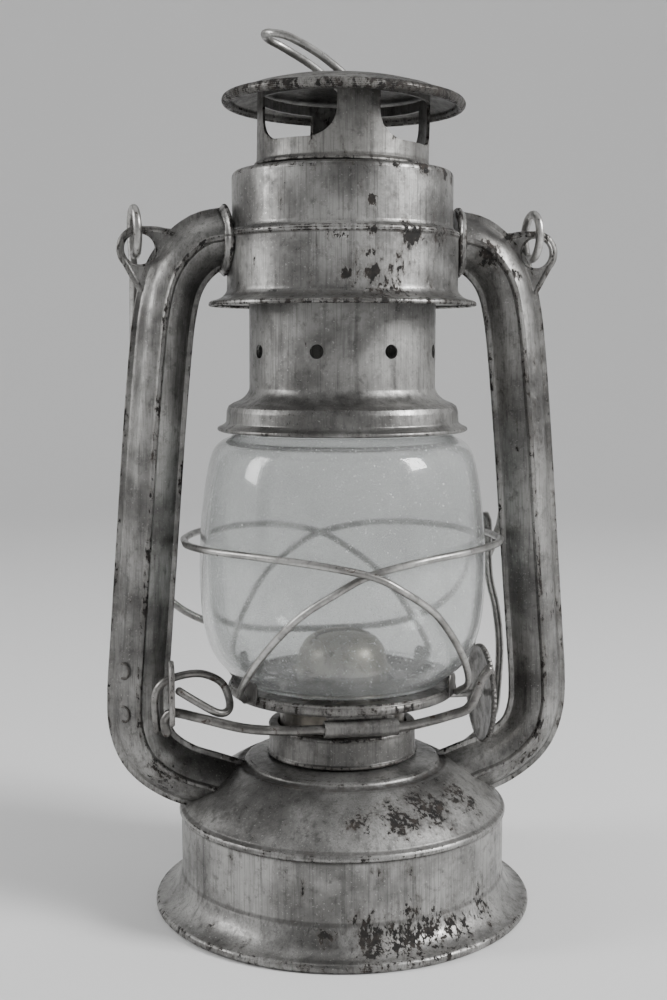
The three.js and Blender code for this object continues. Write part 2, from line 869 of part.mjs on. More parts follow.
// ---- bail ----
// Each end hooks through an ear, and the bail hangs down behind the lantern.
function makeBail() {
  const bail = new THREE.Group();
  bail.position.set(bailShift, 0, pivotZ);
  bail.rotation.x = Math.PI + bailRestAngle;
  lantern.add(bail);
  // Drawn upright, with the pivot at the origin and the arch above it.
  // Each eye is an oval round the rim of its ear, and both are twisted the same way.
  const eyeX = earX + 0.1;
  const eyeHalfDepth = 5.2;
  const eyeHalfHeight = 7.3;
  const eyeMiddle = 0.8;
  const twist = 0.18;
  const eyeSteps = 9;
  const eyeOf = (turnedOut) => {
    const eye = [];
    for (let i = 0; i <= eyeSteps; i++) {
      const a = THREE.MathUtils.degToRad(100 - (310 * i) / eyeSteps);
      const y = eyeHalfDepth * Math.cos(a);
      eye.push([eyeX + turnedOut * twist * y, y, eyeMiddle + eyeHalfHeight * Math.sin(a)]);
    }
    return eye;
  };
  const leg = [
    [bailHalfWidth, -2.2, 11.0],
    [bailHalfWidth, 0.2, 18.0],
    [bailHalfWidth, 0, 52.0],
  ];
  const arch = [];
  const archCentre = bailDrop - bailHalfWidth;
  const archSteps = 12;
  for (let i = 1; i <= archSteps; i++) {
    const a = (Math.PI / 2) * (i / archSteps);
    const squareness = 0.64;
    const x = bailHalfWidth * Math.cos(a) ** squareness;
    const z = archCentre + bailHalfWidth * Math.sin(a) ** squareness;
    arch.push([i === archSteps ? 0 : x, 0, z]);
  }
  const right = [...eyeOf(1), ...leg, ...arch];
  const left = mirrored([...eyeOf(-1), ...leg, ...arch.slice(0, -1)]).reverse();
  add("bail", wire([...right, ...left], bailRadius, 96, 6), wireSteel, bail);
}

makeTank();
makeFrame();
makeFiller();
makeBurner();
makeWickDrive();
makeGlobeCarriage();
makeLiftLever();
makeGuideRod();
makeHood();
makeBail();

export default lantern;
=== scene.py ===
"""Looks of the tubular barn lantern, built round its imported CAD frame. Lengths are in millimetres until a
piece is made, and MM turns them into metres."""

import math

import bmesh
import bpy
from mathutils import Matrix, Vector, noise


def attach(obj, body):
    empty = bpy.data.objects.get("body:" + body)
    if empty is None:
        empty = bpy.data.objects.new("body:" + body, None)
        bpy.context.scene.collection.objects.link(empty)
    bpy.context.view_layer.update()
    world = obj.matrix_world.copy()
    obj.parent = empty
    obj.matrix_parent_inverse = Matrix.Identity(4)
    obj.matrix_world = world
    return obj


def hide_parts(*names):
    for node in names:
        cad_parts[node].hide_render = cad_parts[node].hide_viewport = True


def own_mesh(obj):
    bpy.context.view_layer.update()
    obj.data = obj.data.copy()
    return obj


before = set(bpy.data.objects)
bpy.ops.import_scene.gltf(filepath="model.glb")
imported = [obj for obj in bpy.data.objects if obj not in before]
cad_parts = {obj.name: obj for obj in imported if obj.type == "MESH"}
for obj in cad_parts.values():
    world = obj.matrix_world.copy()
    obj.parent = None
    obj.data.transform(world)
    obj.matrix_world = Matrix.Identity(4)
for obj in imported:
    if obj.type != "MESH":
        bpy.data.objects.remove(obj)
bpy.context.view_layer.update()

MM = 0.001
ROUND = 128  # sides of a large turned piece
SMALL_ROUND = 96  # sides of a small one, and of the floor

FILLER_Y = 38
SHAFT = (-5.9, 68.6)  # y and z of the wick shaft
WHEEL_RADIUS = 16.4
LIFT_Y, LIFT_Z = -34.0, 66.4  # axis of the lifting lever
NECK_TOP = 206
SPRING_BOTTOM, SPRING_TOP = 208.0, 226.4
HOOD_LEAN = math.radians(1.1)  # the worn crown and cap sit a little out of level
CROWN_Z = 238.1
CROWN_RADIUS = 27.3
EAR = (64.3, 213.2)  # x and z of an ear's hole
EAR_RADIUS = 7.2
EAR_HOLE = 4.8
PIVOT_Z = EAR[1] + (EAR_RADIUS + EAR_HOLE) / 2
BAIL_DROP = 145.0
BAIL_HALF = 64.8
BAIL_SHIFT = -1.4
BAIL_REST = math.radians(18)


# ---------------------------------------------------------------- materials
PAINT_AGE = (0.80, 0.62)  # how far age darkens the light and the dark of every paint
STAINED = (0.085, 0.076, 0.068)  # paint round a chip
OXIDE = ((0.007, 0.0065, 0.006), (0.036, 0.028, 0.023))


class Nodes:
    """Short ways to add and join shader nodes."""

    def __init__(self, name):
        self.material = bpy.data.materials.new(name)
        self.material.use_nodes = True
        self.tree = self.material.node_tree
        self.tree.nodes.clear()
        self.out = self.tree.nodes.new("ShaderNodeOutputMaterial")
        self.shader = self.tree.nodes.new("ShaderNodeBsdfPrincipled")
        self.link(self.shader.outputs[0], self.out.inputs[0])
        self.coord = self.tree.nodes.new("ShaderNodeTexCoord").outputs["Object"]

    def link(self, a, b):
        self.tree.links.new(a, b)

    def put(self, value, socket):
        """Links an output to a socket, or sets the socket's own value."""
        if isinstance(value, bpy.types.NodeSocket):
            self.link(value, socket)
        else:
            socket.default_value = value

    def noise(self, scale, detail=4.0, rough=0.55, distortion=0.0, stretch=None, offset=0.0):
        vector = self.coord
        if stretch or offset:
            mapping = self.tree.nodes.new("ShaderNodeMapping")
            self.link(vector, mapping.inputs["Vector"])
            mapping.inputs["Scale"].default_value = stretch or (1, 1, 1)
            mapping.inputs["Location"].default_value = (offset, offset * 0.7, offset * 1.3)
            vector = mapping.outputs[0]
        node = self.tree.nodes.new("ShaderNodeTexNoise")
        self.link(vector, node.inputs["Vector"])
        node.inputs["Scale"].default_value = scale
        node.inputs["Detail"].default_value = detail
        node.inputs["Roughness"].default_value = rough
        node.inputs["Distortion"].default_value = distortion
        return node.outputs[0]

    def math(self, kind, a, b=0.0, c=0.0):
        node = self.tree.nodes.new("ShaderNodeMath")
        node.operation = kind
        for value, socket in zip((a, b, c), node.inputs):
            self.put(value, socket)
        return node.outputs[0]

    def ramp(self, value, low, high, to_low=0.0, to_high=1.0):
        """A smooth step from one number to another as a value goes from low to high."""
        node = self.tree.nodes.new("ShaderNodeMapRange")
        node.interpolation_type = "SMOOTHSTEP"
        self.put(value, node.inputs[0])
        for i, number in enumerate((low, high, to_low, to_high)):
            node.inputs[i + 1].default_value = number
        return node.outputs[0]

    def mix(self, factor, a, b):
        """One colour going over into another as a factor goes from 0 to 1."""
        node = self.tree.nodes.new("ShaderNodeMix")
        node.data_type = "RGBA"
        self.put(factor, node.inputs[0])
        for value, socket in ((a, node.inputs[6]), (b, node.inputs[7])):
            self.put(value if isinstance(value, bpy.types.NodeSocket) else (*value, 1.0), socket)
        return node.outputs[2]

    def near(self, centre, radius):
        """1 at a point, falling to 0 at a radius. Both are in millimetres."""
        node = self.tree.nodes.new("ShaderNodeVectorMath")
        node.operation = "DISTANCE"
        self.link(self.coord, node.inputs[0])
        node.inputs[1].default_value = [v * MM for v in centre]
        return self.ramp(node.outputs["Value"], 0.0, radius * MM, 1.0, 0.0)

    def height(self):
        node = self.tree.nodes.new("ShaderNodeSeparateXYZ")
        self.link(self.coord, node.inputs[0])
        return node.outputs[2]

    def attribute(self, name):
        node = self.tree.nodes.new("ShaderNodeAttribute")
        node.attribute_name = name
        return node.outputs["Fac"]

    def bump(self, height, strength, distance):
        node = self.tree.nodes.new("ShaderNodeBump")
        node.inputs["Strength"].default_value = strength
        node.inputs["Distance"].default_value = distance
        self.put(height, node.inputs["Height"])
        self.link(node.outputs[0], self.shader.inputs["Normal"])

    def set(self, **sockets):
        """Fills the shader's sockets, named in lower case with underscores, and gives the material."""
        for name, value in sockets.items():
            socket = self.shader.inputs[name.replace("_", " ").title()]
            self.put((*value, 1.0) if isinstance(value, tuple) else value, socket)
        return self.material


def scaled(colour, factor):
    return tuple(v * factor for v in colour)


def aged_metal(name, light, dark, metallic, rough, rust, patches=(), seams=(), wear=0.2, offset=0.0):
    """Old silver paint on sheet metal: mottled, streaked, freckled, and rusted where it has chipped.
    A higher rust gives more bare patches. patches are (centre, radius, strength), and seams are
    (height, half width, strength) of dark bands: dirt, and painted shade under an overhanging edge."""
    light = scaled(light, PAINT_AGE[0])
    dark = scaled(dark, PAINT_AGE[1])
    n = Nodes(name)
    broad = n.noise(38, 5, 0.6, 0.2, offset=offset)
    fine = n.noise(330, 8, 0.7, offset=offset)
    grit = n.noise(1500, 3, 0.6)
    streak = n.noise(420, 4, 0.6, stretch=(1, 1, 0.07), offset=offset)
    brush = n.noise(2300, 3, 0.6, stretch=(1, 1, 0.018), offset=offset)
    chip = n.noise(185, 13, 0.74, 0.35, stretch=(1, 1, 0.62), offset=offset)
    pit = n.noise(700, 7, 0.66, 0.3, stretch=(1, 1, 0.5), offset=offset + 3.0)
    patch = None
    for centre, radius, strength in patches:
        one = n.math("MULTIPLY", n.near(centre, radius), strength)
        patch = one if patch is None else n.math("MAXIMUM", patch, one)
    edge = n.attribute("wear")
    bias = n.math("MULTIPLY", edge, wear)
    if patch is not None:
        bias = n.math("MAXIMUM", bias, patch)
    raw = n.math("ADD", n.math("MULTIPLY_ADD", pit, 0.60, -0.30), chip)
    mask = n.ramp(n.math("ADD", raw, bias), 0.735 - rust, 0.765 - rust)
    freckle = n.ramp(n.math("MULTIPLY_ADD", bias, 0.95, pit), 0.725 - rust * 0.5, 0.75 - rust * 0.5)
    mask = n.math("MAXIMUM", mask, freckle)
    halo = n.ramp(n.math("ADD", raw, bias), 0.60 - rust, 0.76 - rust)

    tone = n.ramp(broad, 0.34, 0.66)
    paint = n.mix(tone, dark, light)
    paint = n.mix(n.ramp(streak, 0.50, 0.74, 0.0, 0.6), paint, scaled(dark, 0.42))
    paint = n.mix(n.ramp(brush, 0.48, 0.70, 0.0, 0.45), paint, scaled(dark, 0.5))
    paint = n.mix(n.ramp(fine, 0.50, 0.72, 0.0, 0.6), paint, scaled(dark, 0.45))
    paint = n.mix(n.ramp(grit, 0.60, 0.74, 0.0, 0.5), paint, scaled(light, 1.5))
    paint = n.mix(n.math("MULTIPLY", halo, 0.5), paint, STAINED)
    if seams:
        # dark bands at seams: dirt, and painted shade where a seam lies under an overhanging edge
        z = n.height()
        dirt_and_shade = None
        for height, half, strength in seams:
            away = n.math("ABSOLUTE", n.math("SUBTRACT", z, height * MM))
            one = n.ramp(away, half * 0.25 * MM, half * MM, strength, 0.0)
            dirt_and_shade = one if dirt_and_shade is None else n.math("MAXIMUM", dirt_and_shade, one)
        dirt_and_shade = n.math("MULTIPLY", dirt_and_shade, n.ramp(fine, 0.3, 0.6, 0.6, 1.0))
        mask = n.math("MAXIMUM", mask, dirt_and_shade)
    oxide = n.mix(n.ramp(fine, 0.40, 0.70), *OXIDE)
    colour = n.mix(mask, paint, oxide)
    metal = n.ramp(mask, 0.0, 1.0, metallic, 0.1)
    gloss = n.ramp(fine, 0.3, 0.7, rough - 0.10, rough + 0.14)
    gloss = n.math("ADD", gloss, n.ramp(broad, 0.3, 0.7, -0.05, 0.05))
    gloss = n.math("MAXIMUM", gloss, n.math("MULTIPLY", mask, 0.86))
    height = n.math("MULTIPLY_ADD", mask, -0.75, n.math("MULTIPLY", fine, 0.30))
    height = n.math("ADD", height, n.math("MULTIPLY", grit, 0.12))
    height = n.math("ADD", height, n.math("MULTIPLY", brush, 0.16))
    n.bump(height, 0.55, 0.00028)
    return n.set(base_color=colour, metallic=metal, roughness=gloss)


def bare_wire(name, light, dark, rust, offset=0.0):
    """Plated steel wire, dulled and freckled with rust."""
    n = Nodes(name)
    broad = n.noise(85, 5, 0.6, offset=offset)
    fine = n.noise(600, 6, 0.65, offset=offset)
    chip = n.noise(240, 9, 0.66, 0.4, offset=offset)
    mask = n.ramp(chip, 0.66 - rust, 0.70 - rust)
    steel = n.mix(n.ramp(broad, 0.35, 0.65), dark, light)
    steel = n.mix(n.ramp(fine, 0.5, 0.7, 0.0, 0.5), steel, scaled(dark, 0.5))
    colour = n.mix(mask, steel, (0.045, 0.032, 0.025))
    gloss = n.math("MAXIMUM", n.ramp(fine, 0.3, 0.7, 0.26, 0.46), n.math("MULTIPLY", mask, 0.8))
    n.bump(n.math("MULTIPLY_ADD", mask, -0.6, n.math("MULTIPLY", fine, 0.35)), 0.4, 0.00018)
    return n.set(base_color=colour, metallic=n.ramp(mask, 0, 1, 0.9, 0.15), roughness=gloss)


def tarnished_brass(name, light, dark, offset=0.0):
    """Brass gone brown, with patches of soot."""
    n = Nodes(name)
    broad = n.noise(60, 6, 0.6, 0.3, offset=offset)
    fine = n.noise(420, 8, 0.7, offset=offset)
    soot = n.ramp(n.noise(150, 8, 0.7, 0.3, offset=offset), 0.50, 0.68)
    brass = n.mix(n.ramp(broad, 0.35, 0.65), dark, light)
    colour = n.mix(n.math("MULTIPLY", soot, 0.8), brass, (0.030, 0.026, 0.022))
    gloss = n.math("MAXIMUM", n.ramp(fine, 0.3, 0.7, 0.30, 0.5), n.math("MULTIPLY", soot, 0.75))
    n.bump(n.math("MULTIPLY_ADD", soot, -0.3, fine), 0.35, 0.0002)
    return n.set(base_color=colour, metallic=n.ramp(soot, 0, 1, 0.9, 0.35), roughness=gloss)


def dusty_glass(name):
    """Clear glass with fine dust that thickens towards both ends, and a few larger specks."""
    n = Nodes(name)
    speck = n.ramp(n.noise(1500, 3, 0.55), 0.635, 0.70)
    smear = n.ramp(n.noise(55, 6, 0.65, 0.6), 0.42, 0.80)
    z = n.height()
    top = n.ramp(z, 0.128, 0.155, 0.0, 0.5)
    low = n.ramp(z, 0.075, 0.092, 0.55, 0.0)
    ends = n.math("MAXIMUM", top, low)
    film = n.math("ADD", n.math("MULTIPLY", smear, 0.22), 0.10)
    film = n.math("MULTIPLY", n.math("ADD", film, n.math("MULTIPLY", ends, 0.24)), 0.55)
    dust = n.math("MAXIMUM", n.math("MULTIPLY", speck, 0.7), film)
    clear = n.math("SUBTRACT", 1.0, dust)
    n.bump(n.noise(24, 2, 0.4), 0.05, 0.001)
    made = n.set(
        base_color=(0.86, 0.875, 0.87),
        roughness=n.math("MULTIPLY_ADD", dust, 0.5, 0.03),
        transmission_weight=clear,
    )
    n.shader.inputs["IOR"].default_value = 1.46
    return made


def woven_cotton(name):
    """The wick's cotton, charred at the top."""
    n = Nodes(name)
    weave = n.noise(900, 2, 0.4, stretch=(1, 1, 0.35))
    burnt = n.ramp(n.height(), 0.0835, 0.087)
    colour = n.mix(n.ramp(weave, 0.35, 0.65), (0.42, 0.36, 0.27), (0.62, 0.56, 0.45))
    colour = n.mix(burnt, colour, (0.02, 0.018, 0.016))
    n.bump(weave, 0.7, 0.0003)
    return n.set(base_color=colour, roughness=0.95)


def old_rubber(name):
    n = Nodes(name)
    fine = n.noise(700, 6, 0.7)
    colour = n.mix(n.ramp(fine, 0.35, 0.7), (0.02, 0.018, 0.017), (0.07, 0.062, 0.056))
    n.bump(fine, 0.5, 0.0002)
    return n.set(base_color=colour, roughness=0.82)


def on(radius, degrees, z):
    """A point on a round wall, at an angle from the front towards the right."""
    a = math.radians(degrees)
    return (radius * math.sin(a), -radius * math.cos(a), z)


SILVER = (0.50, 0.495, 0.48)
DULL = (0.23, 0.226, 0.218)
# chipped places, each a (centre, radius, strength)
FOOT_PATCHES = (
    (on(56, 0, 8.5), 13, 0.24),
    (on(56, 11, 7.5), 14, 0.25),
    (on(56, 20, 8.5), 12, 0.24),
    (on(57, 30, 7), 12, 0.20),
    (on(57, 43, 10), 11, 0.23),
    (on(56, -15, 9), 6, 0.26),
    (on(60, 24, 2), 22, 0.13),
    (on(53, 12, 15), 9, 0.20),
    (on(53, -24, 22), 16, 0.05),
    (on(55, 218, 8), 20, 0.18),
    (on(56, 120, 7), 12, 0.18),
)
COVER_PATCHES = (
    (on(43, 28, 40), 14, 0.25),
    (on(43, 48, 41), 13, 0.20),
    (on(44, 13, 39), 13, 0.22),
    (on(44, -3, 40), 9, 0.20),
    (on(46, 146, 42), 14, 0.18),
)
CHAMBER_PATCHES = (
    (on(37, 4, 204.6), 5.2, 0.34),
    (on(37, -8.5, 204.6), 3.8, 0.33),
    (on(37, 4, 210.5), 4.6, 0.22),
    (on(35.3, 4.5, 226.2), 3.0, 0.42),
    (on(37.4, 4, 217.2), 2.8, 0.36),
    (on(37, 24, 216.4), 8, 0.22),
    (on(37, 44, 216.4), 8, 0.22),
    (on(37, -12, 215.5), 5, 0.20),
    (on(34.6, 34, 237), 6, 0.24),
    (on(34.6, 52, 236.6), 6, 0.27),
    (on(35, 63, 234.5), 4, 0.28),
    (on(35, 18, 237), 4, 0.20),
    (on(42.5, 8, 196.5), 30, 0.15),
    (on(37, 222, 212), 14, 0.17),
)
TUBE_PATCHES = (
    ((47, -8, 213), 9, 0.24),
    ((56, -8, 207), 6, 0.20),
    ((62, -8, 46), 14, 0.17),
    ((-62, -8, 46), 14, 0.17),
    ((-74, -6, 70), 7, 0.12),
    ((72, -6, 96), 12, 0.13),
    ((66, -4, 180), 20, 0.08),
)
CAP_PATCHES = (
    (on(38, 50, 260), 34, 0.17),
    (on(38, 0, 260), 16, 0.07),
)
NECK_PATCHES = (((20, -30, 182), 6, 0.2),)
# dark bands at seams, each a (height, half width, strength): dirt, and on the tank at 31.6, under the
# cover's rolled edge, painted shade as well
TANK_SEAMS = ((31.6, 1.9, 0.95), (11.6, 1.0, 0.55))
COVER_SEAMS = ((46.8, 0.8, 0.9), (33.3, 0.6, 0.6))
CHAMBER_SEAMS = ((216.9, 0.5, 0.7), (199.0, 0.7, 0.6))
NECK_SEAMS = ((164.6, 0.8, 0.4),)
CROWN_SEAMS = ((240.0, 1.2, 0.6),)
# light and dark paint, metallic, roughness, rust, patches, seams, edge wear, offset of the pattern
PAINTS = {
    "tank": (SILVER, DULL, 0.80, 0.39, 0.045, FOOT_PATCHES, TANK_SEAMS, 0.16),
    "cover": (SILVER, DULL, 0.80, 0.39, 0.05, COVER_PATCHES, COVER_SEAMS, 0.12, 1.7),
    "chamber": (SILVER, DULL, 0.82, 0.37, 0.05, CHAMBER_PATCHES, CHAMBER_SEAMS, 0.18, 2.9),
    # the tubes and ears carry the body's silver made darker: painted shade, as the tubes stand in shadow
    "tube": ((0.43, 0.425, 0.41), (0.18, 0.176, 0.17), 0.80, 0.40, 0.045, TUBE_PATCHES, (), 0.14, 4.1),
    "neck": (
        (0.48, 0.475, 0.46), (0.22, 0.216, 0.208), 0.80, 0.39, 0.02, NECK_PATCHES, NECK_SEAMS, 0.12, 5.3,
    ),
    "plate": ((0.40, 0.392, 0.376), (0.18, 0.175, 0.168), 0.70, 0.44, 0.06, (), (), 0.14, 6.1),
    "crown": ((0.36, 0.355, 0.34), (0.13, 0.126, 0.12), 0.72, 0.44, 0.075, (), CROWN_SEAMS, 0.14, 7.7),
    "cap": ((0.29, 0.285, 0.272), (0.09, 0.087, 0.082), 0.70, 0.46, 0.08, CAP_PATCHES, (), 0.2, 8.3),
    "wheel": ((0.40, 0.39, 0.375), (0.16, 0.155, 0.148), 0.75, 0.40, 0.05, (), (), 0.10, 9.1),
    "inside": ((0.30, 0.29, 0.28), (0.13, 0.12, 0.11), 0.55, 0.55, 0.08, (), (), 0.10, 9.9),
}
PAINT = {name: aged_metal("aged_" + name, *values) for name, values in PAINTS.items()}
WIRE = bare_wire("aged_wire", (0.50, 0.495, 0.48), (0.24, 0.235, 0.225), 0.03)
DARK_WIRE = bare_wire("dark_wire", (0.30, 0.292, 0.28), (0.12, 0.116, 0.11), 0.07, 2.2)
BRASS = tarnished_brass("tarnished_brass", (0.46, 0.41, 0.32), (0.22, 0.19, 0.14))
DARK_BRASS = tarnished_brass("sooty_brass", (0.15, 0.138, 0.118), (0.055, 0.05, 0.043), 1.4)
BRIGHT_BRASS = tarnished_brass("worn_brass", (0.47, 0.445, 0.395), (0.26, 0.24, 0.20), 3.1)
GLASS = dusty_glass("dusty_glass")
COTTON = woven_cotton("woven_cotton")
RUBBER = old_rubber("old_rubber")


# ---------------------------------------------------------------- shapes
NEARLY_STRAIGHT = math.radians(172)
CORNER_STEPS = 3
WEAR_FROM, WEAR_TO = 0.20, 0.75  # bending, in radians per millimetre, where wear starts and is full
TO_X = Matrix(((0, 0, 1, 0), (1, 0, 0, 0), (0, 1, 0, 0), (0, 0, 0, 1)))  # turns x, y, z into y, z, x


def smooth_line(points, spacing):
    """Points on a Catmull-Rom curve through a list of points, about one spacing apart."""
    pts = [Vector(p) for p in points]
    ends = [2 * pts[0] - pts[1], *pts, 2 * pts[-1] - pts[-2]]
    line = []
    for i in range(1, len(ends) - 2):
        a, b, c, d = ends[i - 1 : i + 3]
        steps = max(2, int(math.ceil((c - b).length / spacing)))
        for k in range(steps):
            t = k / steps
            m0, m1 = (c - a) / 2, (d - b) / 2
            line.append(
                (2 * t**3 - 3 * t**2 + 1) * b
                + (t**3 - 2 * t**2 + t) * m0
                + (3 * t**2 - 2 * t**3) * c
                + (t**3 - t**2) * m1
            )
    return [*line, pts[-1]]


def soften(profile, radius):
    """Rounds the corners of a closed line of (x, y) points."""
    pts = [Vector(p) for p in profile]
    count = len(pts)
    result = []
    for i, p in enumerate(pts):
        before, after = pts[i - 1] - p, pts[(i + 1) % count] - p
        if before.length < 1e-6 or after.length < 1e-6 or p.x < 1e-6:
            result.append(p)
            continue
        if before.angle(after) > NEARLY_STRAIGHT:
            result.append(p)
            continue
        reach = min(radius, before.length * 0.45, after.length * 0.45)
        a, b = p + before.normalized() * reach, p + after.normalized() * reach
        for k in range(CORNER_STEPS + 1):
            t = k / CORNER_STEPS
            result.append((1 - t) ** 2 * a + 2 * t * (1 - t) * p + t * t * b)
    return result


def refine(profile, longest):
    """Splits long sides, so that shading and wear stay close to the edges."""
    result = []
    count = len(profile)
    for i in range(count):
        a, b = profile[i], profile[(i + 1) % count]
        pieces = max(1, int(math.ceil((b - a).length / longest)))
        result += [a.lerp(b, k / pieces) for k in range(pieces)]
    return result


def arc(centre, radius, start, end, steps=8):
    """(x, y) points on a circle, from one angle to another in degrees."""
    angles = [math.radians(start + (end - start) * k / steps) for k in range(steps + 1)]
    return [(centre[0] + radius * math.cos(a), centre[1] + radius * math.sin(a)) for a in angles]


def bend(a, control, b, steps=10):
    """(x, y) points on a quadratic curve."""
    line = []
    for k in range(steps + 1):
        t = k / steps
        line.append(tuple((1 - t) ** 2 * a[i] + 2 * t * (1 - t) * control[i] + t * t * b[i] for i in (0, 1)))
    return line


def sheet(outer, thickness=0.9):
    """A closed profile: an open outer line, and the same line moved to its inner side."""
    inner = []
    for i, (r, z) in enumerate(outer):
        r0, z0 = outer[max(i - 1, 0)]
        r1, z1 = outer[min(i + 1, len(outer) - 1)]
        length = math.hypot(r1 - r0, z1 - z0)
        inner.append((r - (z1 - z0) / length * thickness, z + (r1 - r0) / length * thickness))
    return [*outer, *reversed(inner)]


def turned(profile, sides=ROUND, corner=0.3, longest=4.0, milled=None):
    """Vertices and faces of a closed (radius, height) profile turned about Z. milled is
    (count, depth, least radius): a fluted edge on everything outside that radius."""
    line = refine(soften(profile, corner), longest)
    verts, rings = [], []
    for p in line:
        if p.x < 1e-6:
            rings.append([len(verts)] * sides)
            verts.append(Vector((0, 0, p.y)))
            continue
        rings.append(list(range(len(verts), len(verts) + sides)))
        for k in range(sides):
            a = 2 * math.pi * k / sides
            r = p.x
            if milled and r > milled[2]:
                r -= milled[1] * (0.5 + 0.5 * math.cos(milled[0] * a))
            verts.append(Vector((r * math.cos(a), r * math.sin(a), p.y)))
    faces = []
    for i, ring in enumerate(rings):
        after = rings[(i + 1) % len(rings)]
        for k in range(sides):
            j = (k + 1) % sides
            face = []
            for v in (ring[k], ring[j], after[j], after[k]):
                if v not in face:
                    face.append(v)
            if len(face) > 2:
                faces.append(face)
    return verts, faces


def swept(line, section, up=None, caps="flat"):
    """Vertices and faces of a section moved along a line of points. section is a list of (a, b)
    offsets. up fixes the direction of the first offset; otherwise it is carried along."""
    count = len(line)
    tangents = []
    for i in range(count):
        tangents.append((line[min(i + 1, count - 1)] - line[max(i - 1, 0)]).normalized())
    side = Vector(up) if up else tangents[0].orthogonal().normalized()
    rings = []
    for p, t in zip(line, tangents):
        side = Vector(up) if up else side
        side = (side - t * side.dot(t)).normalized()
        other = t.cross(side)
        rings.append([p + side * a + other * b for a, b in section])
    if caps == "round":
        radius = math.hypot(*section[0])
        for end, at, t in ((0, line[0], -tangents[0]), (-1, line[-1], tangents[-1])):
            base = rings[end]
            for deg in (30, 55, 75):
                tilt = math.radians(deg)
                out = t * radius * 0.7 * math.sin(tilt)
                cap = [at + (v - at) * math.cos(tilt) + out for v in base]
                rings.insert(0 if end == 0 else len(rings), cap)
    verts = [v for ring in rings for v in ring]
    n = len(section)
    faces = [list(reversed(range(n))), list(range(len(verts) - n, len(verts)))]
    for i in range(len(rings) - 1):
        for k in range(n):
            j = (k + 1) % n
            faces.append([i * n + k, i * n + j, (i + 1) * n + j, (i + 1) * n + k])
    return verts, faces


def circle(radius, sides=14):
    angles = [2 * math.pi * k / sides for k in range(sides)]
    return [(radius * math.cos(a), radius * math.sin(a)) for a in angles]


def wire(points, radius, spacing=1.4, sides=14):
    return swept(smooth_line(points, spacing), circle(radius, sides), caps="round")


def slab(outline, thickness, corner=0.35):
    """A flat outline of (x, y) points with thickness about Z = 0 and eased edges."""
    half = thickness / 2
    levels = [(-half, corner), (-half + corner, 0.0), (half - corner, 0.0), (half, corner)]
    pts = [Vector(p) for p in outline]
    count = len(pts)
    if sum(p.x * q.y - q.x * p.y for p, q in zip(pts, [*pts[1:], pts[0]])) < 0:
        pts.reverse()
    verts = []
    for z, inset in levels:
        for i, p in enumerate(pts):
            along = (pts[(i + 1) % count] - pts[i - 1]).normalized()
            inward = Vector((-along.y, along.x))
            q = p + inward * inset
            verts.append(Vector((q.x, q.y, z)))
    faces = [list(reversed(range(count))), list(range(3 * count, 4 * count))]
    for level in range(3):
        for i in range(count):
            j = (i + 1) % count
            a = level * count
            faces.append([a + i, a + j, a + count + j, a + count + i])
    return verts, faces


def moved(shape, matrix):
    return [matrix @ v for v in shape[0]], shape[1]


def wrapped(shape, radius):
    """Curves a ring that faces along X to the wall of a cylinder about Z."""
    verts = []
    for v in shape[0]:
        sag = radius - math.sqrt(radius**2 - v.y**2)
        verts.append(Vector((v.x - math.copysign(sag, v.x), v.y, v.z)))
    return verts, shape[1]


def shift(x=0.0, y=0.0, z=0.0):
    return Matrix.Translation((x, y, z))


def turn(degrees, axis):
    return Matrix.Rotation(math.radians(degrees), 4, axis)


def bare_mesh(name, shape):
    """A mesh in metres from a shape in millimetres, with every face turned outwards."""
    mesh = bpy.data.meshes.new(name)
    mesh.from_pydata([v * MM for v in shape[0]], [], shape[1])
    made = bmesh.new()
    made.from_mesh(mesh)
    bmesh.ops.recalc_face_normals(made, faces=made.faces)
    made.to_mesh(mesh)
    made.free()
    return mesh


def cut(mesh, cutters):
    """The mesh with each cutter shape taken away."""
    whole = bpy.data.objects.new("cut_piece", mesh)
    bpy.context.scene.collection.objects.link(whole)
    tools = []
    for i, cutter in enumerate(cutters):
        tool = bpy.data.objects.new("cut_tool_%d" % i, bare_mesh("cut_tool", cutter))
        bpy.context.scene.collection.objects.link(tool)
        modifier = whole.modifiers.new("cut", "BOOLEAN")
        modifier.operation = "DIFFERENCE"
        modifier.solver = "EXACT"
        modifier.object = tool
        tools.append(tool)
    graph = bpy.context.evaluated_depsgraph_get()
    result = bpy.data.meshes.new_from_object(whole.evaluated_get(graph))
    for item in [whole, *tools]:
        bpy.data.objects.remove(item)
    return result


def dent(mesh, amount, scale):
    """Pushes the sheet metal slightly in and out, as handling does."""
    for v in mesh.vertices:
        p = v.co * scale
        radial = Vector((v.co.x, v.co.y, 0)).normalized()
        v.co -= radial * (noise.noise(p) * 0.5 + 0.5) * amount * MM


def finish_mesh(mesh, sharp):
    """Smooth shading with creases over a sharp angle, and a wear value that is high on convex edges."""
    work = bmesh.new()
    work.from_mesh(mesh)
    wear = [0.0] * len(work.verts)
    for edge in work.edges:
        if len(edge.link_faces) != 2:
            continue
        angle = edge.calc_face_angle_signed(0.0)
        edge.smooth = abs(angle) < math.radians(sharp)
        if angle <= 0:
            continue
        spans = [f.calc_area() / max(edge.calc_length(), 1e-7) / MM for f in edge.link_faces]
        bending = angle / max(0.5 * sum(spans), 0.05)
        for v in edge.verts:
            wear[v.index] = max(wear[v.index], bending)
    for face in work.faces:
        face.smooth = True
    work.to_mesh(mesh)
    work.free()
    attribute = mesh.attributes.new("wear", "FLOAT", "POINT")
    span = WEAR_TO - WEAR_FROM
    attribute.data.foreach_set("value", [min(1.0, max(0.0, (w - WEAR_FROM) / span)) for w in wear])


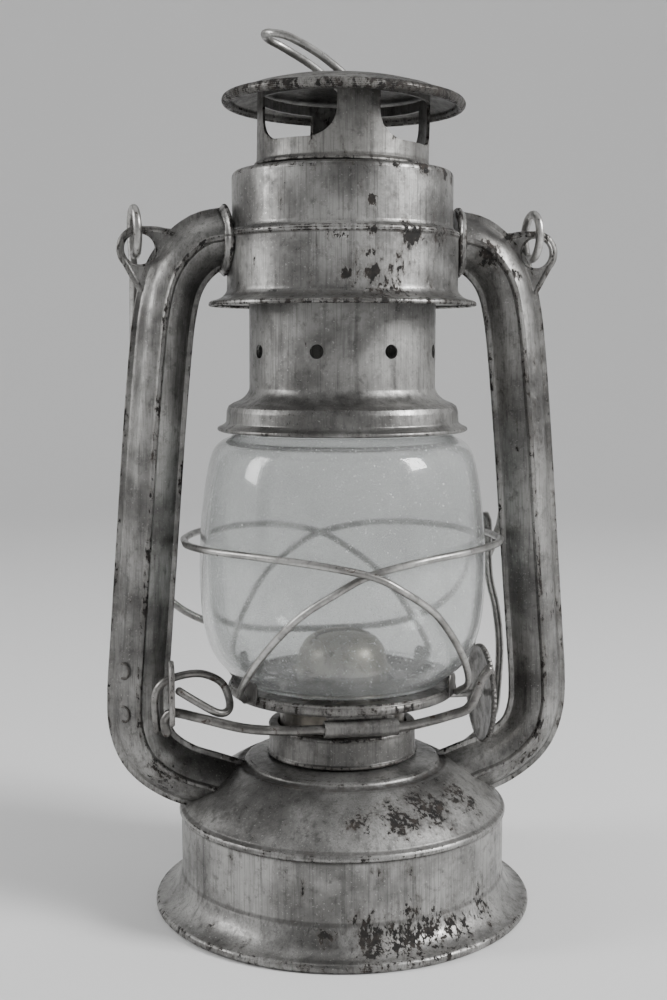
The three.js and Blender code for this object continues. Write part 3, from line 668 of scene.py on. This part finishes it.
def piece(name, shape, body, nodes, material, cutters=(), dents=None, matrix=None, sharp=32.0):
    """A finished piece that rides on a body and stands for CAD nodes. dents are (depth, scale), and matrix
    moves the cut mesh, in metres."""
    mesh = bare_mesh(name, shape)
    if cutters:
        mesh = cut(mesh, cutters)
    if matrix is not None:
        mesh.transform(matrix)
    if dents:
        dent(mesh, *dents)
    finish_mesh(mesh, sharp)
    mesh.materials.clear()
    mesh.materials.append(material)
    obj = bpy.data.objects.new(name, mesh)
    bpy.context.scene.collection.objects.link(obj)
    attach(obj, body)
    if nodes:
        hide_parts(*nodes)
    return obj


def rod(radius, length, axis="Z", sides=20):
    """A plain round cutter or shaft, centred on the origin."""
    shape = swept([Vector((0, 0, -length / 2)), Vector((0, 0, length / 2))], circle(radius, sides))
    if axis == "X":
        return moved(shape, turn(90, "Y"))
    if axis == "Y":
        return moved(shape, turn(90, "X"))
    return shape


def block(x, y, z):
    """A plain box, centred on the origin."""
    section = [(x / 2, y / 2), (-x / 2, y / 2), (-x / 2, -y / 2), (x / 2, -y / 2)]
    return swept([Vector((0, 0, -z / 2)), Vector((0, 0, z / 2))], section, up=(1, 0, 0))


# ---------------------------------------------------------------- tank and air cover
tank = [
    (60.3, 0.0), *arc((60.4, 1.5), 1.6, -60, 75, 8), (60.2, 3.2),
    *bend((59.6, 3.4), (55.2, 5.4), (53.7, 11.0), 12), (53.3, 12.4), (53.3, 30.8),
    (52.3, 30.8), (52.3, 10.0), (0, 10.0), (0, 8.8), (52.6, 8.8), (57.4, 3.7), (59.0, 1.8), (59.0, 0.0),
]
piece("tank", turned(tank), "frame", ["tank_shell"], PAINT["tank"], dents=(0.22, 38))
lid = turned([(0, 27.4), (52.0, 27.4), (52.0, 28.6), (0, 28.6)], ROUND, 0.2)
lid_cuts = [moved(block(21, 5, 6), shift(z=28)), moved(rod(9.4, 6), shift(0, FILLER_Y, 28))]
piece("tank_top", lid, "frame", ["tank_lid"], PAINT["inside"], lid_cuts)

cover_line = [
    (53.35, 30.7), (53.9, 31.1), (54.1, 31.9), (53.7, 32.8), (52.7, 33.4), (52.0, 34.0),
    *bend((51.2, 34.7), (44.9, 41.0), (35.4, 46.2), 12), (34.2, 46.6), (33.3, 46.45), (32.6, 46.75),
    (31.9, 47.8), (31.0, 48.4), (25.6, 49.35), (21.3, 49.5),
]
cover_cuts = [moved(rod(8.8, 40, sides=36), shift(0, FILLER_Y, 42))]
cover = turned(sheet(cover_line))
piece("cover", cover, "frame", ["air_cover"], PAINT["cover"], cover_cuts, (0.18, 42))

# ---------------------------------------------------------------- side tubes
TUBE_ROUTE = [
    (30, 217.2), (37, 216.6), (44, 215.0), (50.0, 210.0), (54.2, 203.0), (56.5, 194), (58.1, 182),
    (60.5, 156), (63.3, 120), (65.6, 90), (66.9, 72), (66.4, 61), (62.6, 52.0), (54.0, 45.2),
    (43, 41.0), (33, 37.4),
]
# a quarter of the section, as (depth, width): a sharp front ridge, a flat face and a seam flange
quarter = [
    (9.5, 0.0), (9.42, 0.5), (8.9, 0.95), (8.35, 1.15), (8.05, 1.8), (7.3, 3.2), (6.3, 4.7), (4.9, 5.8),
    (3.2, 6.7), (1.9, 7.4), (1.2, 7.9), (0.85, 8.25), (0.8, 9.7), (0.4, 9.95),
]
# a little slimmer, so that the guard and the bail pass
quarter = [(0.975 * depth, 0.99 * width) for depth, width in quarter]
half = [*quarter, *[(-d, w) for d, w in reversed(quarter)]]
tube_section = [*half, *[(d, -w) for d, w in reversed(half)][1:-1]]
under_cover = [(0, 0), (53.8, 0), (53.8, 31), *[(r - 0.3, z - 0.3) for r, z in cover_line], (0, 49.2)]
inside_cover = turned(under_cover, ROUND, 0.01)
inside_chamber = moved(rod(36.9, 60, sides=ROUND), shift(z=215))
for side, sign in (("left", -1), ("right", 1)):
    line = smooth_line([(sign * x, 0, z) for x, z in TUBE_ROUTE], 2.2)
    shape = swept(line, tube_section, up=(0, 1, 0))
    ends = [inside_cover, inside_chamber]
    piece("tube_" + side, shape, "frame", ["side_tube_" + side], PAINT["tube"], ends)

    # crimped flange round the tube, pressed to the chamber's wall
    rolled = [(9.6, -0.5), (10.9, -0.6), (11.3, -0.1), (11.2, 0.6), (10.5, 1.1), (9.9, 1.9), (9.3, 2.0)]
    ring = turned(rolled, SMALL_ROUND, 0.3, 1.5)
    ring = wrapped(moved(ring, shift(sign * 37.7, 0, 216.2) @ turn(90 * sign, "Y")), 37.1)
    piece("sleeve_" + side, ring, "frame", ["tube_sleeve_" + side], PAINT["chamber"])

    # bail ear: a plate on the seam flange, with a rolled rim and an eyelet
    flip = Matrix.Diagonal((sign, 1, 1, 1))
    rim = [*arc(EAR, EAR_RADIUS, -42, 100, 20), (54, 219.5)]
    plate = moved(slab([*rim, (48, 214), (58, 200), (63.9, 201.0)], 1.4), turn(90, "X"))
    hole = moved(rod(EAR_HOLE, 6, "Y", 40), shift(EAR[0], 0, EAR[1]))
    plate, hole = moved(plate, flip), moved(hole, flip)
    piece("ear_" + side, plate, "frame", ["bail_ear_" + side], PAINT["tube"], [hole])
    edge = [(64.0, 200.4), *arc(EAR, EAR_RADIUS - 1.1, -40, 98, 12), (58, 219.0), (53, 217.6)]
    bead = wire([(x, 0, z) for x, z in edge], 1.1, 1.0)
    piece("ear_rim_" + side, moved(bead, flip), "frame", [], PAINT["tube"])
    eyelet = turned([(4.75, -1.0), (5.5, -1.0), (5.7, 0), (5.5, 1.0), (4.75, 1.0)], 64, 0.4, 1.0)
    place = shift(EAR[0], 0, EAR[1]) @ turn(90, "X")
    piece("ear_eyelet_" + side, moved(moved(eyelet, place), flip), "frame", [], PAINT["tube"])

# two small stamped half rings on the outer face of the left tube
for i, z in enumerate((80.5, 66.5)):
    angles = [math.radians(a) for a in range(-110, 111, 20)]
    mark = [(2.1 * math.cos(a), 2.5 * math.sin(a), 0) for a in angles]
    place = shift(-71.6, -6.2, z) @ turn(-40, "Z") @ turn(90, "X")
    mark = moved(wire(mark, 0.36, 0.8, 8), place)
    piece("tube_mark_%d" % (i + 1), mark, "frame", [], PAINT["inside"])

# ---------------------------------------------------------------- air chamber
chamber = [
    (41.6, 196.0), (42.4, 195.5), (43.0, 195.9), (42.9, 196.8), (42.2, 197.3),
    *bend((41.4, 197.5), (38.0, 198.2), (37.2, 200.6), 8), (37.1, 201.6), (37.1, 216.6), (37.5, 217.2),
    (37.6, 218.0), (37.2, 218.8), (35.7, 219.6), (35.3, 220.6), (35.3, 235.8),
    *arc((33.4, 235.9), 1.9, 0, 90, 6), (24.3, 237.8),
]
piece("chamber", turned(sheet(chamber)), "frame", ["air_chamber"], PAINT["chamber"], (), (0.25, 45))

# ---------------------------------------------------------------- filler
FILLER = shift(y=FILLER_Y)
fuel_neck = turned([(8.2, 29), (8.2, 53), (7, 53), (7, 27), (8, 27)], 48)
piece("fuel_neck", moved(fuel_neck, FILLER), "frame", ["filler_neck"], BRASS)
seal = turned([(8.4, 53.3), (8.4, 54.5), (5, 54.5), (5, 53.3)], 48)
piece("fuel_seal", moved(seal, FILLER), "filler_cap", ["filler_gasket"], RUBBER)
fuel_cap = [(0, 54.8), (9, 54.8), (9, 49), (10.3, 49), (10.3, 54.8), (9.4, 56.2), (4, 56.8), (0, 56.8)]
fuel_cap = turned(fuel_cap, 144, 0.35, 2.0, (36, 0.5, 9.6))
piece("fuel_cap", moved(fuel_cap, FILLER), "filler_cap", ["filler_cap"], BRIGHT_BRASS)

# ---------------------------------------------------------------- burner
collar = [
    (24.3, 49.9), (24.8, 50.2), (24.8, 50.9), (24.2, 51.4), (24.1, 58.4), (24.4, 59.2), (24.0, 59.9),
    (23.2, 60), (21.3, 60), (21.3, 51.1), (12, 51.1), (12, 49.9),
]
piece("collar", turned(collar, SMALL_ROUND), "frame", ["burner_collar"], PAINT["plate"])
cup = [
    (15.2, 51.4), (20.6, 51.4), (20.6, 64), (20.9, 68), (21.6, 70.8),
    (20.6, 70.8), (19.9, 68.2), (19.6, 52.5), (15.2, 52.5),
]
cup = turned(cup, SMALL_ROUND, 0.3, 3.0)
cup_cuts = [moved(rod(1.7, 6, "X"), turn(36 * (i + 0.5), "Z") @ shift(20, 0, 57.5)) for i in range(10)]
cup_cuts.append(moved(rod(1.35, 12, "X"), shift(20, *SHAFT)))
piece("burner_body", cup, "frame", ["burner_cup"], DARK_BRASS, cup_cuts)
WICK_TUBE_Z = 62.75  # its middle
SPROCKETS = (-4.2, 4.2)
wick_tube = block(19.4, 5.2, 45.5)
tube_cuts = [block(17.8, 3.6, 60)]
tube_cuts += [moved(block(2.6, 3, 10), shift(x, -2.6, SHAFT[1] - WICK_TUBE_Z)) for x in SPROCKETS]
up = shift(z=WICK_TUBE_Z * MM)
piece("flat_tube", wick_tube, "frame", ["wick_tube"], BRASS, tube_cuts, matrix=up)
flange = turned([(0, 51.3), (14.6, 51.3), (14.6, 52.5), (0, 52.5)], 64, 0.2)
piece("flat_tube_flange", flange, "frame", [], BRASS, [moved(block(19.5, 5.3, 4), shift(z=52))])
dome = [
    (16.6, 76.6), (16.6, 77.3), (15.2, 78.0), (14.8, 80.6),
    *bend((14.6, 81.6), (13.2, 89.4), (4.0, 90.4), 10), (0, 90.6), (0, 89.8),
    *bend((4.0, 89.6), (12.5, 88.4), (13.8, 81.6), 8), (14.2, 77.4), (14.2, 70.0),
    (15.2, 70.0), (15.2, 76.6),
]
dome = turned(dome, SMALL_ROUND, 0.25, 2.5)
flame_slot = moved(block(18.6, 5.4, 16), shift(z=90))
piece("flame_cone", dome, "frame", ["burner_cone"], BRIGHT_BRASS, [flame_slot])

# the wick, a woven strip with a charred top
verts, faces = [], []
rows, columns = 40, 14
for k in range(rows + 1):
    z = 13 + 75 * k / rows
    for i in range(2 * columns):
        u = (i if i < columns else 2 * columns - 1 - i) / (columns - 1)
        front = -1 if i < columns else 1
        x = -8.4 + 16.8 * u
        frayed = 0.6 * noise.noise(Vector((x * 0.6, front, 3))) - 0.6 if k == rows else 0.0
        ripple = 0.12 * math.sin(u * 40) if 0 < i % columns < columns - 1 else 0.0
        verts.append(Vector((x, front * (1.12 + ripple * 0.8), z + frayed)))
for k in range(rows):
    for i in range(2 * columns):
        j = (i + 1) % (2 * columns)
        a, b = k * 2 * columns, (k + 1) * 2 * columns
        faces.append([a + i, a + j, b + j, b + i])
faces += [list(reversed(range(2 * columns))), list(range(rows * 2 * columns, (rows + 1) * 2 * columns))]
piece("cotton_wick", (verts, faces), "wick", ["wick"], COTTON)

# ---------------------------------------------------------------- wick drive
shaft = swept([Vector((-8, *SHAFT)), Vector((45.8, *SHAFT))], circle(1.2, 20), caps="flat")
piece("drive_shaft", shaft, "wick_drive", ["wick_shaft"], WIRE)
for i, x in enumerate(SPROCKETS):
    teeth = []
    for k in range(60):
        a = 2 * math.pi * k / 60
        reach = 3.75 + 0.4 * math.cos(10 * a)
        teeth.append((reach * math.cos(a), reach * math.sin(a)))
    shape = moved(slab(teeth, 1.6, 0.15), shift(x, *SHAFT) @ turn(90, "Y"))
    number = str(i + 1)
    piece("drive_wheel_" + number, shape, "wick_drive", ["wick_sprocket_" + number], BRASS)
r = WHEEL_RADIUS
dish = [
    (0, 0.5), (5.0, 0.5), (6.5, 0.1), *bend((8, 0.0), (r - 3, -0.2), (r - 1.8, -0.9), 6), (r - 0.5, -1.1),
    (r, -0.4), (r - 0.1, 0.5), (r - 0.9, 0.9), *bend((r - 2.2, 0.6), (r - 5, 1.2), (7.6, 1.4), 6),
    (6.0, 1.7), (4.5, 2.2), (2.4, 2.4), (0, 2.4),
]
wheel = moved(turned(dish, 240, 0.2, 1.6, (60, 0.35, r - 1.2)), shift(46.0, *SHAFT) @ turn(90, "Y"))
piece("thumb_wheel", wheel, "wick_drive", ["wick_wheel"], PAINT["wheel"])

# ---------------------------------------------------------------- globe carriage
plate = [
    (17.6, 71.3), (29.6, 71.3), (31.4, 70.9), (33.2, 70.4), *arc((36.0, 72.0), 1.6, -90, 60, 8),
    (36.9, 73.9), (36.2, 74.2), (35.6, 73.6), (35.2, 72.6), (34.0, 71.9), (31.8, 72.1),
    (29.8, 72.4), (17.6, 72.4),
]
vents = []
for i in range(14):
    a = 2 * math.pi * i / 14
    vents.append(moved(rod(2.43, 8, sides=22), shift(24.5 * math.cos(a), 24.5 * math.sin(a), 72)))
piece("globe_seat", turned(plate), "globe_carriage", ["globe_plate"], PAINT["plate"], vents)
knuckle = moved(rod(2.7, 23, "X", 28), shift(0, LIFT_Y, LIFT_Z))
leaf = moved(block(21, 5.4, 1.0), shift(0, LIFT_Y + 2.9, LIFT_Z + 3.1))
bore = moved(rod(1.95, 30, "X", 28), shift(0, LIFT_Y, LIFT_Z))
piece("lever_knuckle", knuckle, "globe_carriage", ["plate_knuckle"], PAINT["plate"], [bore])
piece("lever_leaf", leaf, "globe_carriage", [], PAINT["plate"], [bore])

globe_line = [
    (33.0, 74.9), (33.4, 75.6), (35.0, 76.6), (37.4, 78.3), (39.6, 80.2), (41.6, 82.6), (43.3, 85.9),
    (44.6, 90.0), (45.6, 95.0), (46.2, 100.5), (46.5, 107), (46.5, 114), (46.3, 121), (45.8, 128),
    (45.0, 135), (44.0, 141.5), (42.8, 147.0), (41.4, 150.4), (39.0, 152.8), (36.8, 153.8),
    (35.6, 154.6), (35.3, 155.4),
]
globe_line = [(p.x, p.y) for p in smooth_line([(r, z, 0) for r, z in globe_line], 1.5)]
globe = turned(sheet(globe_line, 2.0), 160, 0.5, 3.0)
piece("glass_globe", globe, "globe_carriage", ["globe"], GLASS, sharp=60)

GUARD = [
    (-34.2, -18.6, 72.6), (-36.2, -25.6, 77.4), (-31.2, -34.4, 89.0), (-21.4, -43.6, 102.4),
    (-10.0, -48.4, 111.0), (0.0, -49.2, 116.2), (16.0, -46.8, 119.6), (32.0, -38.4, 120.8),
    (44.6, -24.0, 120.8), (50.6, -9.6, 120.6), (51.2, 0, 120.5),
]
first = [*GUARD, *[(x, -y, z) for x, y, z in reversed(GUARD[:-1])]]
second = []
for x, y, z in first:
    over = math.copysign(2.6, y) if abs(x) < 20 and abs(y) > 1 else 0  # passes outside the first wire
    second.append((-x, y + over, z))
piece("guard_front_1", wire(first, 1.15), "globe_carriage", ["guard_wire_1"], WIRE)
piece("guard_front_2", wire(second, 1.15), "globe_carriage", ["guard_wire_2"], WIRE)
for sx in (-1, 1):
    for sy in (-1, 1):
        clip = slab([(-3.2, -3.6), (3.2, -3.6), (3.6, 1.6), (2.2, 3.4), (-2.2, 3.4), (-3.6, 1.6)], 0.9, 0.2)
        angle = math.degrees(math.atan2(sy * 19.4, sx * 33.4))
        place = turn(angle, "Z") @ shift(37.4, 0, 75.2) @ turn(90, "Z") @ turn(90, "X")
        name = "guard_clip_%s%s" % ("lr"[sx > 0], "fb"[sy > 0])
        piece(name, moved(clip, place), "globe_carriage", [], PAINT["plate"])

# ---------------------------------------------------------------- lifting lever
LEVER = [
    (-58.6, -20.5, 63.6), (-59.4, -20.2, 67.4), (-57.0, -20.6, 70.2), (-49.0, -23.6, 69.0),
    (-36.0, -30.4, 67.0), (-24.0, -33.6, 66.5), *[(x, LIFT_Y, LIFT_Z) for x in (-14, 0, 14)],
    (21.5, LIFT_Y - 3, 68.6), (27, LIFT_Y - 5, 70.6),
    *[(x, LIFT_Y - 5.6, z) for x, z in ((32, 72.4), (34.6, 76.4), (36, 80.6), (38.8, 84.8))],
]
LOOP = [
    (-55.2, -23.6, 77.8), (-49.4, -23.8, 74.0), (-43.0, -24.2, 70.4), (-39.6, -21.6, 70.6),
    (-39.2, -18.6, 73.4), (-41.6, -18.0, 78.6), (-48.0, -18.0, 81.6), (-55.6, -18.0, 80.8),
    (-60.6, -18.0, 78.2), (-62.2, -18.0, 73.4), (-61.6, -17.8, 64.2),
]
piece("lever_wire", wire(LEVER, 1.5), "lift_lever", ["lift_wire"], DARK_WIRE)
piece("lever_loop", wire(LOOP, 1.25), "lift_lever", ["finger_loop"], DARK_WIRE)
THUMB = [
    (-25.6, 70.2), (-24.4, 67.2), (-21.6, 66.4), (-18.6, 71.0), (-16.4, 76.4), (-16.2, 81.6),
    (-18.2, 85.6), (-21.4, 86.6), (-24.6, 84.6), (-26.0, 80.0), (-25.6, 70.2),
]
thumb = smooth_line([(y, z, 0) for y, z in THUMB], 1.2)[:-1]
thumb = moved(slab([(p.x, p.y) for p in thumb], 1.6, 0.4), shift(-57.15, 0, 0) @ TO_X)
piece("thumb_tab", thumb, "lift_lever", ["thumb_plate"], PAINT["wheel"])
ROD = [
    (43.0, 16.0, 42.6), (50.0, 15.4, 48.0), (55.6, 13.2, 56.0), (57.0, 13.2, 66.0),
    (57.6, 13.2, 80.0), (56.2, 13.2, 93.0),
    (53.8, 13.2, 103.0), (53.0, 13.2, 112.0), (53.0, 13.2, 122.0), (52.4, 14.8, 125.6),
]
piece("guide_rod", wire(ROD, 1.4), "frame", ["lift_guide_rod"], WIRE)

# ---------------------------------------------------------------- hood
neck = [
    (37.2, 156.1), (39.8, 155.9), (40.5, 156.4), (40.3, 157.2), (38.6, 157.9), (37.6, 158.8),
    (37.4, 162.4), (36.8, 164.0), (35.2, 165.0), *bend((34.4, 165.3), (30.9, 166.6), (30.05, 169.6), 8),
    (30, 171), (30, NECK_TOP), (24.5, NECK_TOP),
]
holes = [moved(rod(2.2, 12, "X", 28), turn(45 * i + 20, "Z") @ shift(30, 0, 181.4)) for i in range(8)]
piece("neck", turned(sheet(neck)), "hood", ["globe_neck"], PAINT["neck"], holes, (0.15, 50))
chimney = turned([(23, 202), (23, 243.6), (22, 243.6), (22, 202)], SMALL_ROUND, 0.2, 3.0)
piece("chimney", chimney, "hood", ["chimney_tube"], PAINT["inside"])
coil = []
steps = 4 * 24  # four turns
for i in range(steps + 1):
    a = 2 * math.pi * i / 24
    z = SPRING_BOTTOM + (SPRING_TOP - SPRING_BOTTOM) * i / steps
    coil.append((25.6 * math.cos(a), 25.6 * math.sin(a), z))
spring = piece("spring", wire(coil, 0.9, 4.0, 12), "hood", ["hood_spring"], DARK_WIRE)
# lifting the hood takes 12 mm out of the 20.4 mm between the neck's top and the top of the spring
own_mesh(spring)

LEAN = shift(z=CROWN_Z) @ Matrix.Rotation(HOOD_LEAN, 4, "Y")
crown = [
    (28.3, 0.6), (28.2, 1.4), (27.4, 2.2), (CROWN_RADIUS, 3.4), (CROWN_RADIUS, 24.1),
    (26.3, 24.1), (26.3, 1.8), (23.6, 1.8), (23.6, 0.6),
]
crown = turned(crown, ROUND, 0.3, 3.0)
windows = []
for i in range(4):
    flank = [(31, 21)]  # the angle from the middle, and the height, down one side
    for k in range(13):
        t = math.pi / 2 * k / 12
        flank.append((31 - 19 * (1 - math.cos(t)), 7.3 + 8.2 * (1 - math.sin(t))))
    across = [(CROWN_RADIUS * math.sin(math.radians(a)), z) for a, z in flank]
    prism = slab([*[(-x, z) for x, z in across], *reversed(across)], 30, 0.0)
    prism = moved(prism, turn(45 + 90 * i, "Z") @ shift(x=25) @ TO_X)
    windows.append(moved(prism, LEAN))
piece("crown", moved(crown, LEAN), "hood", ["hood_crown"], PAINT["crown"], windows)
base, top = 19.5, 29.1  # heights above CROWN_Z
cap_line = [
    (35.7, base + 1.4), *arc((37.1, base + 1.55), 1.6, -125, 78, 10), (36.6, base + 3.2),
    (34.3, base + 4.0), (30, base + 5.6), (24, base + 7.2), (17, top - 1.7), (9, top - 0.6), (0, top),
    (0, top - 1.0), (9, top - 1.6), (17, top - 2.7), (24, base + 6.1), (29.8, base + 4.6),
    (34.0, base + 3.0), (35.7, base + 2.2),
]
cap = moved(turned(cap_line, ROUND, 0.5, 3.0), LEAN)
slots = [moved(moved(block(10.4, 3.8, 12), shift(-1.4, y, top)), LEAN) for y in (-8.6, 8.6)]
piece("cap", cap, "hood", ["hood_cap"], PAINT["cap"], slots, (0.25, 60))
arm = [
    (1.6, -4.2, -2.6), (0.9, -7.7, -2.2), (0.0, -8.6, 0.0), (-9.0, -8.6, 6.7),
    (-18.4, -7.8, 11.7), (-23.4, -5.0, 13.3), (-25.2, -1.6, 13.9),
]
ring = [*arm, *[(x, -y, z) for x, y, z in reversed(arm)]]
ring = moved(wire(ring, 1.25), LEAN @ shift(z=top - 1.9))
piece("cap_ring", ring, "lift_ring", ["lift_ring"], WIRE)


# ---------------------------------------------------------------- bail
def eye_of(side):
    """An oval round the rim of an ear; the eyes of both sides are twisted the same way."""
    line = []
    for i in range(19):
        a = math.radians(100 - 310 * i / 18)
        y = 5.2 * math.cos(a)
        line.append((EAR[0] + 0.1 + side * 0.18 * y, y, 0.8 + 7.3 * math.sin(a)))
    return line


leg = [(BAIL_HALF, -2.2, 11.0), (BAIL_HALF, 0.2, 18.0), (BAIL_HALF, 0, 52.0)]
arch = []
for i in range(1, 13):
    a = math.pi / 2 * i / 12
    across, along = (BAIL_HALF * f(a) ** 0.64 for f in (math.cos, math.sin))
    arch.append((0 if i == 12 else across, 0, BAIL_DROP - BAIL_HALF + along))
left = [(-x, y, z) for x, y, z in [*eye_of(-1), *leg, *arch[:-1]]]
bail = [*eye_of(1), *leg, *arch, *reversed(left)]
place = shift(BAIL_SHIFT, 0, PIVOT_Z) @ Matrix.Rotation(math.pi + BAIL_REST, 4, "X")
piece("bail_wire", moved(wire(bail, 1.35), place), "bail", ["bail"], WIRE)

# ---------------------------------------------------------------- floor, light and camera
# a round floor that curves up into a pale wall all round, in metres
FLAT, BEND = 1.1, 0.9
floor_line = [(0.02, 0.0), (FLAT, 0.0)]
for k in range(1, 13):
    a = math.pi / 2 * k / 12
    floor_line.append((FLAT + BEND * math.sin(a), BEND - BEND * math.cos(a)))
floor_line.append((FLAT + BEND, 2.0))
floor_verts = [(0, 0, 0)]
for radius, height in floor_line:
    floor_verts += [(x, y, height) for x, y in circle(radius, SMALL_ROUND)]
floor_faces = [(0, 1 + k, 1 + (k + 1) % SMALL_ROUND) for k in range(SMALL_ROUND)]
for row in range(len(floor_line) - 1):
    for k in range(SMALL_ROUND):
        a = 1 + SMALL_ROUND * row + k
        b = 1 + SMALL_ROUND * row + (k + 1) % SMALL_ROUND
        floor_faces.append((a, a + SMALL_ROUND, b + SMALL_ROUND, b))
floor_mesh = bpy.data.meshes.new("floor")
floor_mesh.from_pydata(floor_verts, [], floor_faces)
for face in floor_mesh.polygons:
    face.use_smooth = True
pale = bpy.data.materials.new("pale_floor")
pale.use_nodes = True
matte = pale.node_tree.nodes["Principled BSDF"]
matte.inputs["Base Color"].default_value = (0.80, 0.80, 0.80, 1)
matte.inputs["Roughness"].default_value = 0.9
floor_mesh.materials.append(pale)
floor = bpy.data.objects.new("floor", floor_mesh)
bpy.context.scene.collection.objects.link(floor)


def softbox(name, location, size, power, target=(0, 0, 0.13)):
    """A soft rectangular light, placed in metres and turned towards a target."""
    light = bpy.data.lights.new(name, "AREA")
    light.shape = "RECTANGLE"
    light.size, light.size_y = size
    light.energy = power
    obj = bpy.data.objects.new(name, light)
    obj.location = location
    aim = Vector(target) - Vector(location)
    obj.rotation_euler = aim.to_track_quat("-Z", "Y").to_euler()
    bpy.context.scene.collection.objects.link(obj)


softbox("key", (0.86, -0.50, 0.72), (0.30, 0.45), 17)
softbox("side", (-0.92, 0.02, 0.55), (0.24, 0.5), 5)
softbox("ceiling", (0.0, 0.25, 1.95), (2.4, 2.0), 13, (0, 0.25, 0))

world = bpy.data.worlds.new("studio")
world.use_nodes = True
sky = world.node_tree.nodes["Background"]
sky.inputs["Color"].default_value = (0.80, 0.82, 0.85, 1)
sky.inputs["Strength"].default_value = 0.06
bpy.context.scene.world = world

lens = bpy.data.cameras.new("camera")
lens.sensor_fit = "VERTICAL"
lens.sensor_height = 36
lens.lens = 50.36
lens.clip_start = 0.01
camera = bpy.data.objects.new("camera", lens)
camera.location = (-0.07801, -0.44651, 0.18331)
camera.rotation_euler = (math.radians(83.69), 0, math.radians(-9.55))
bpy.context.scene.collection.objects.link(camera)
bpy.context.scene.camera = camera
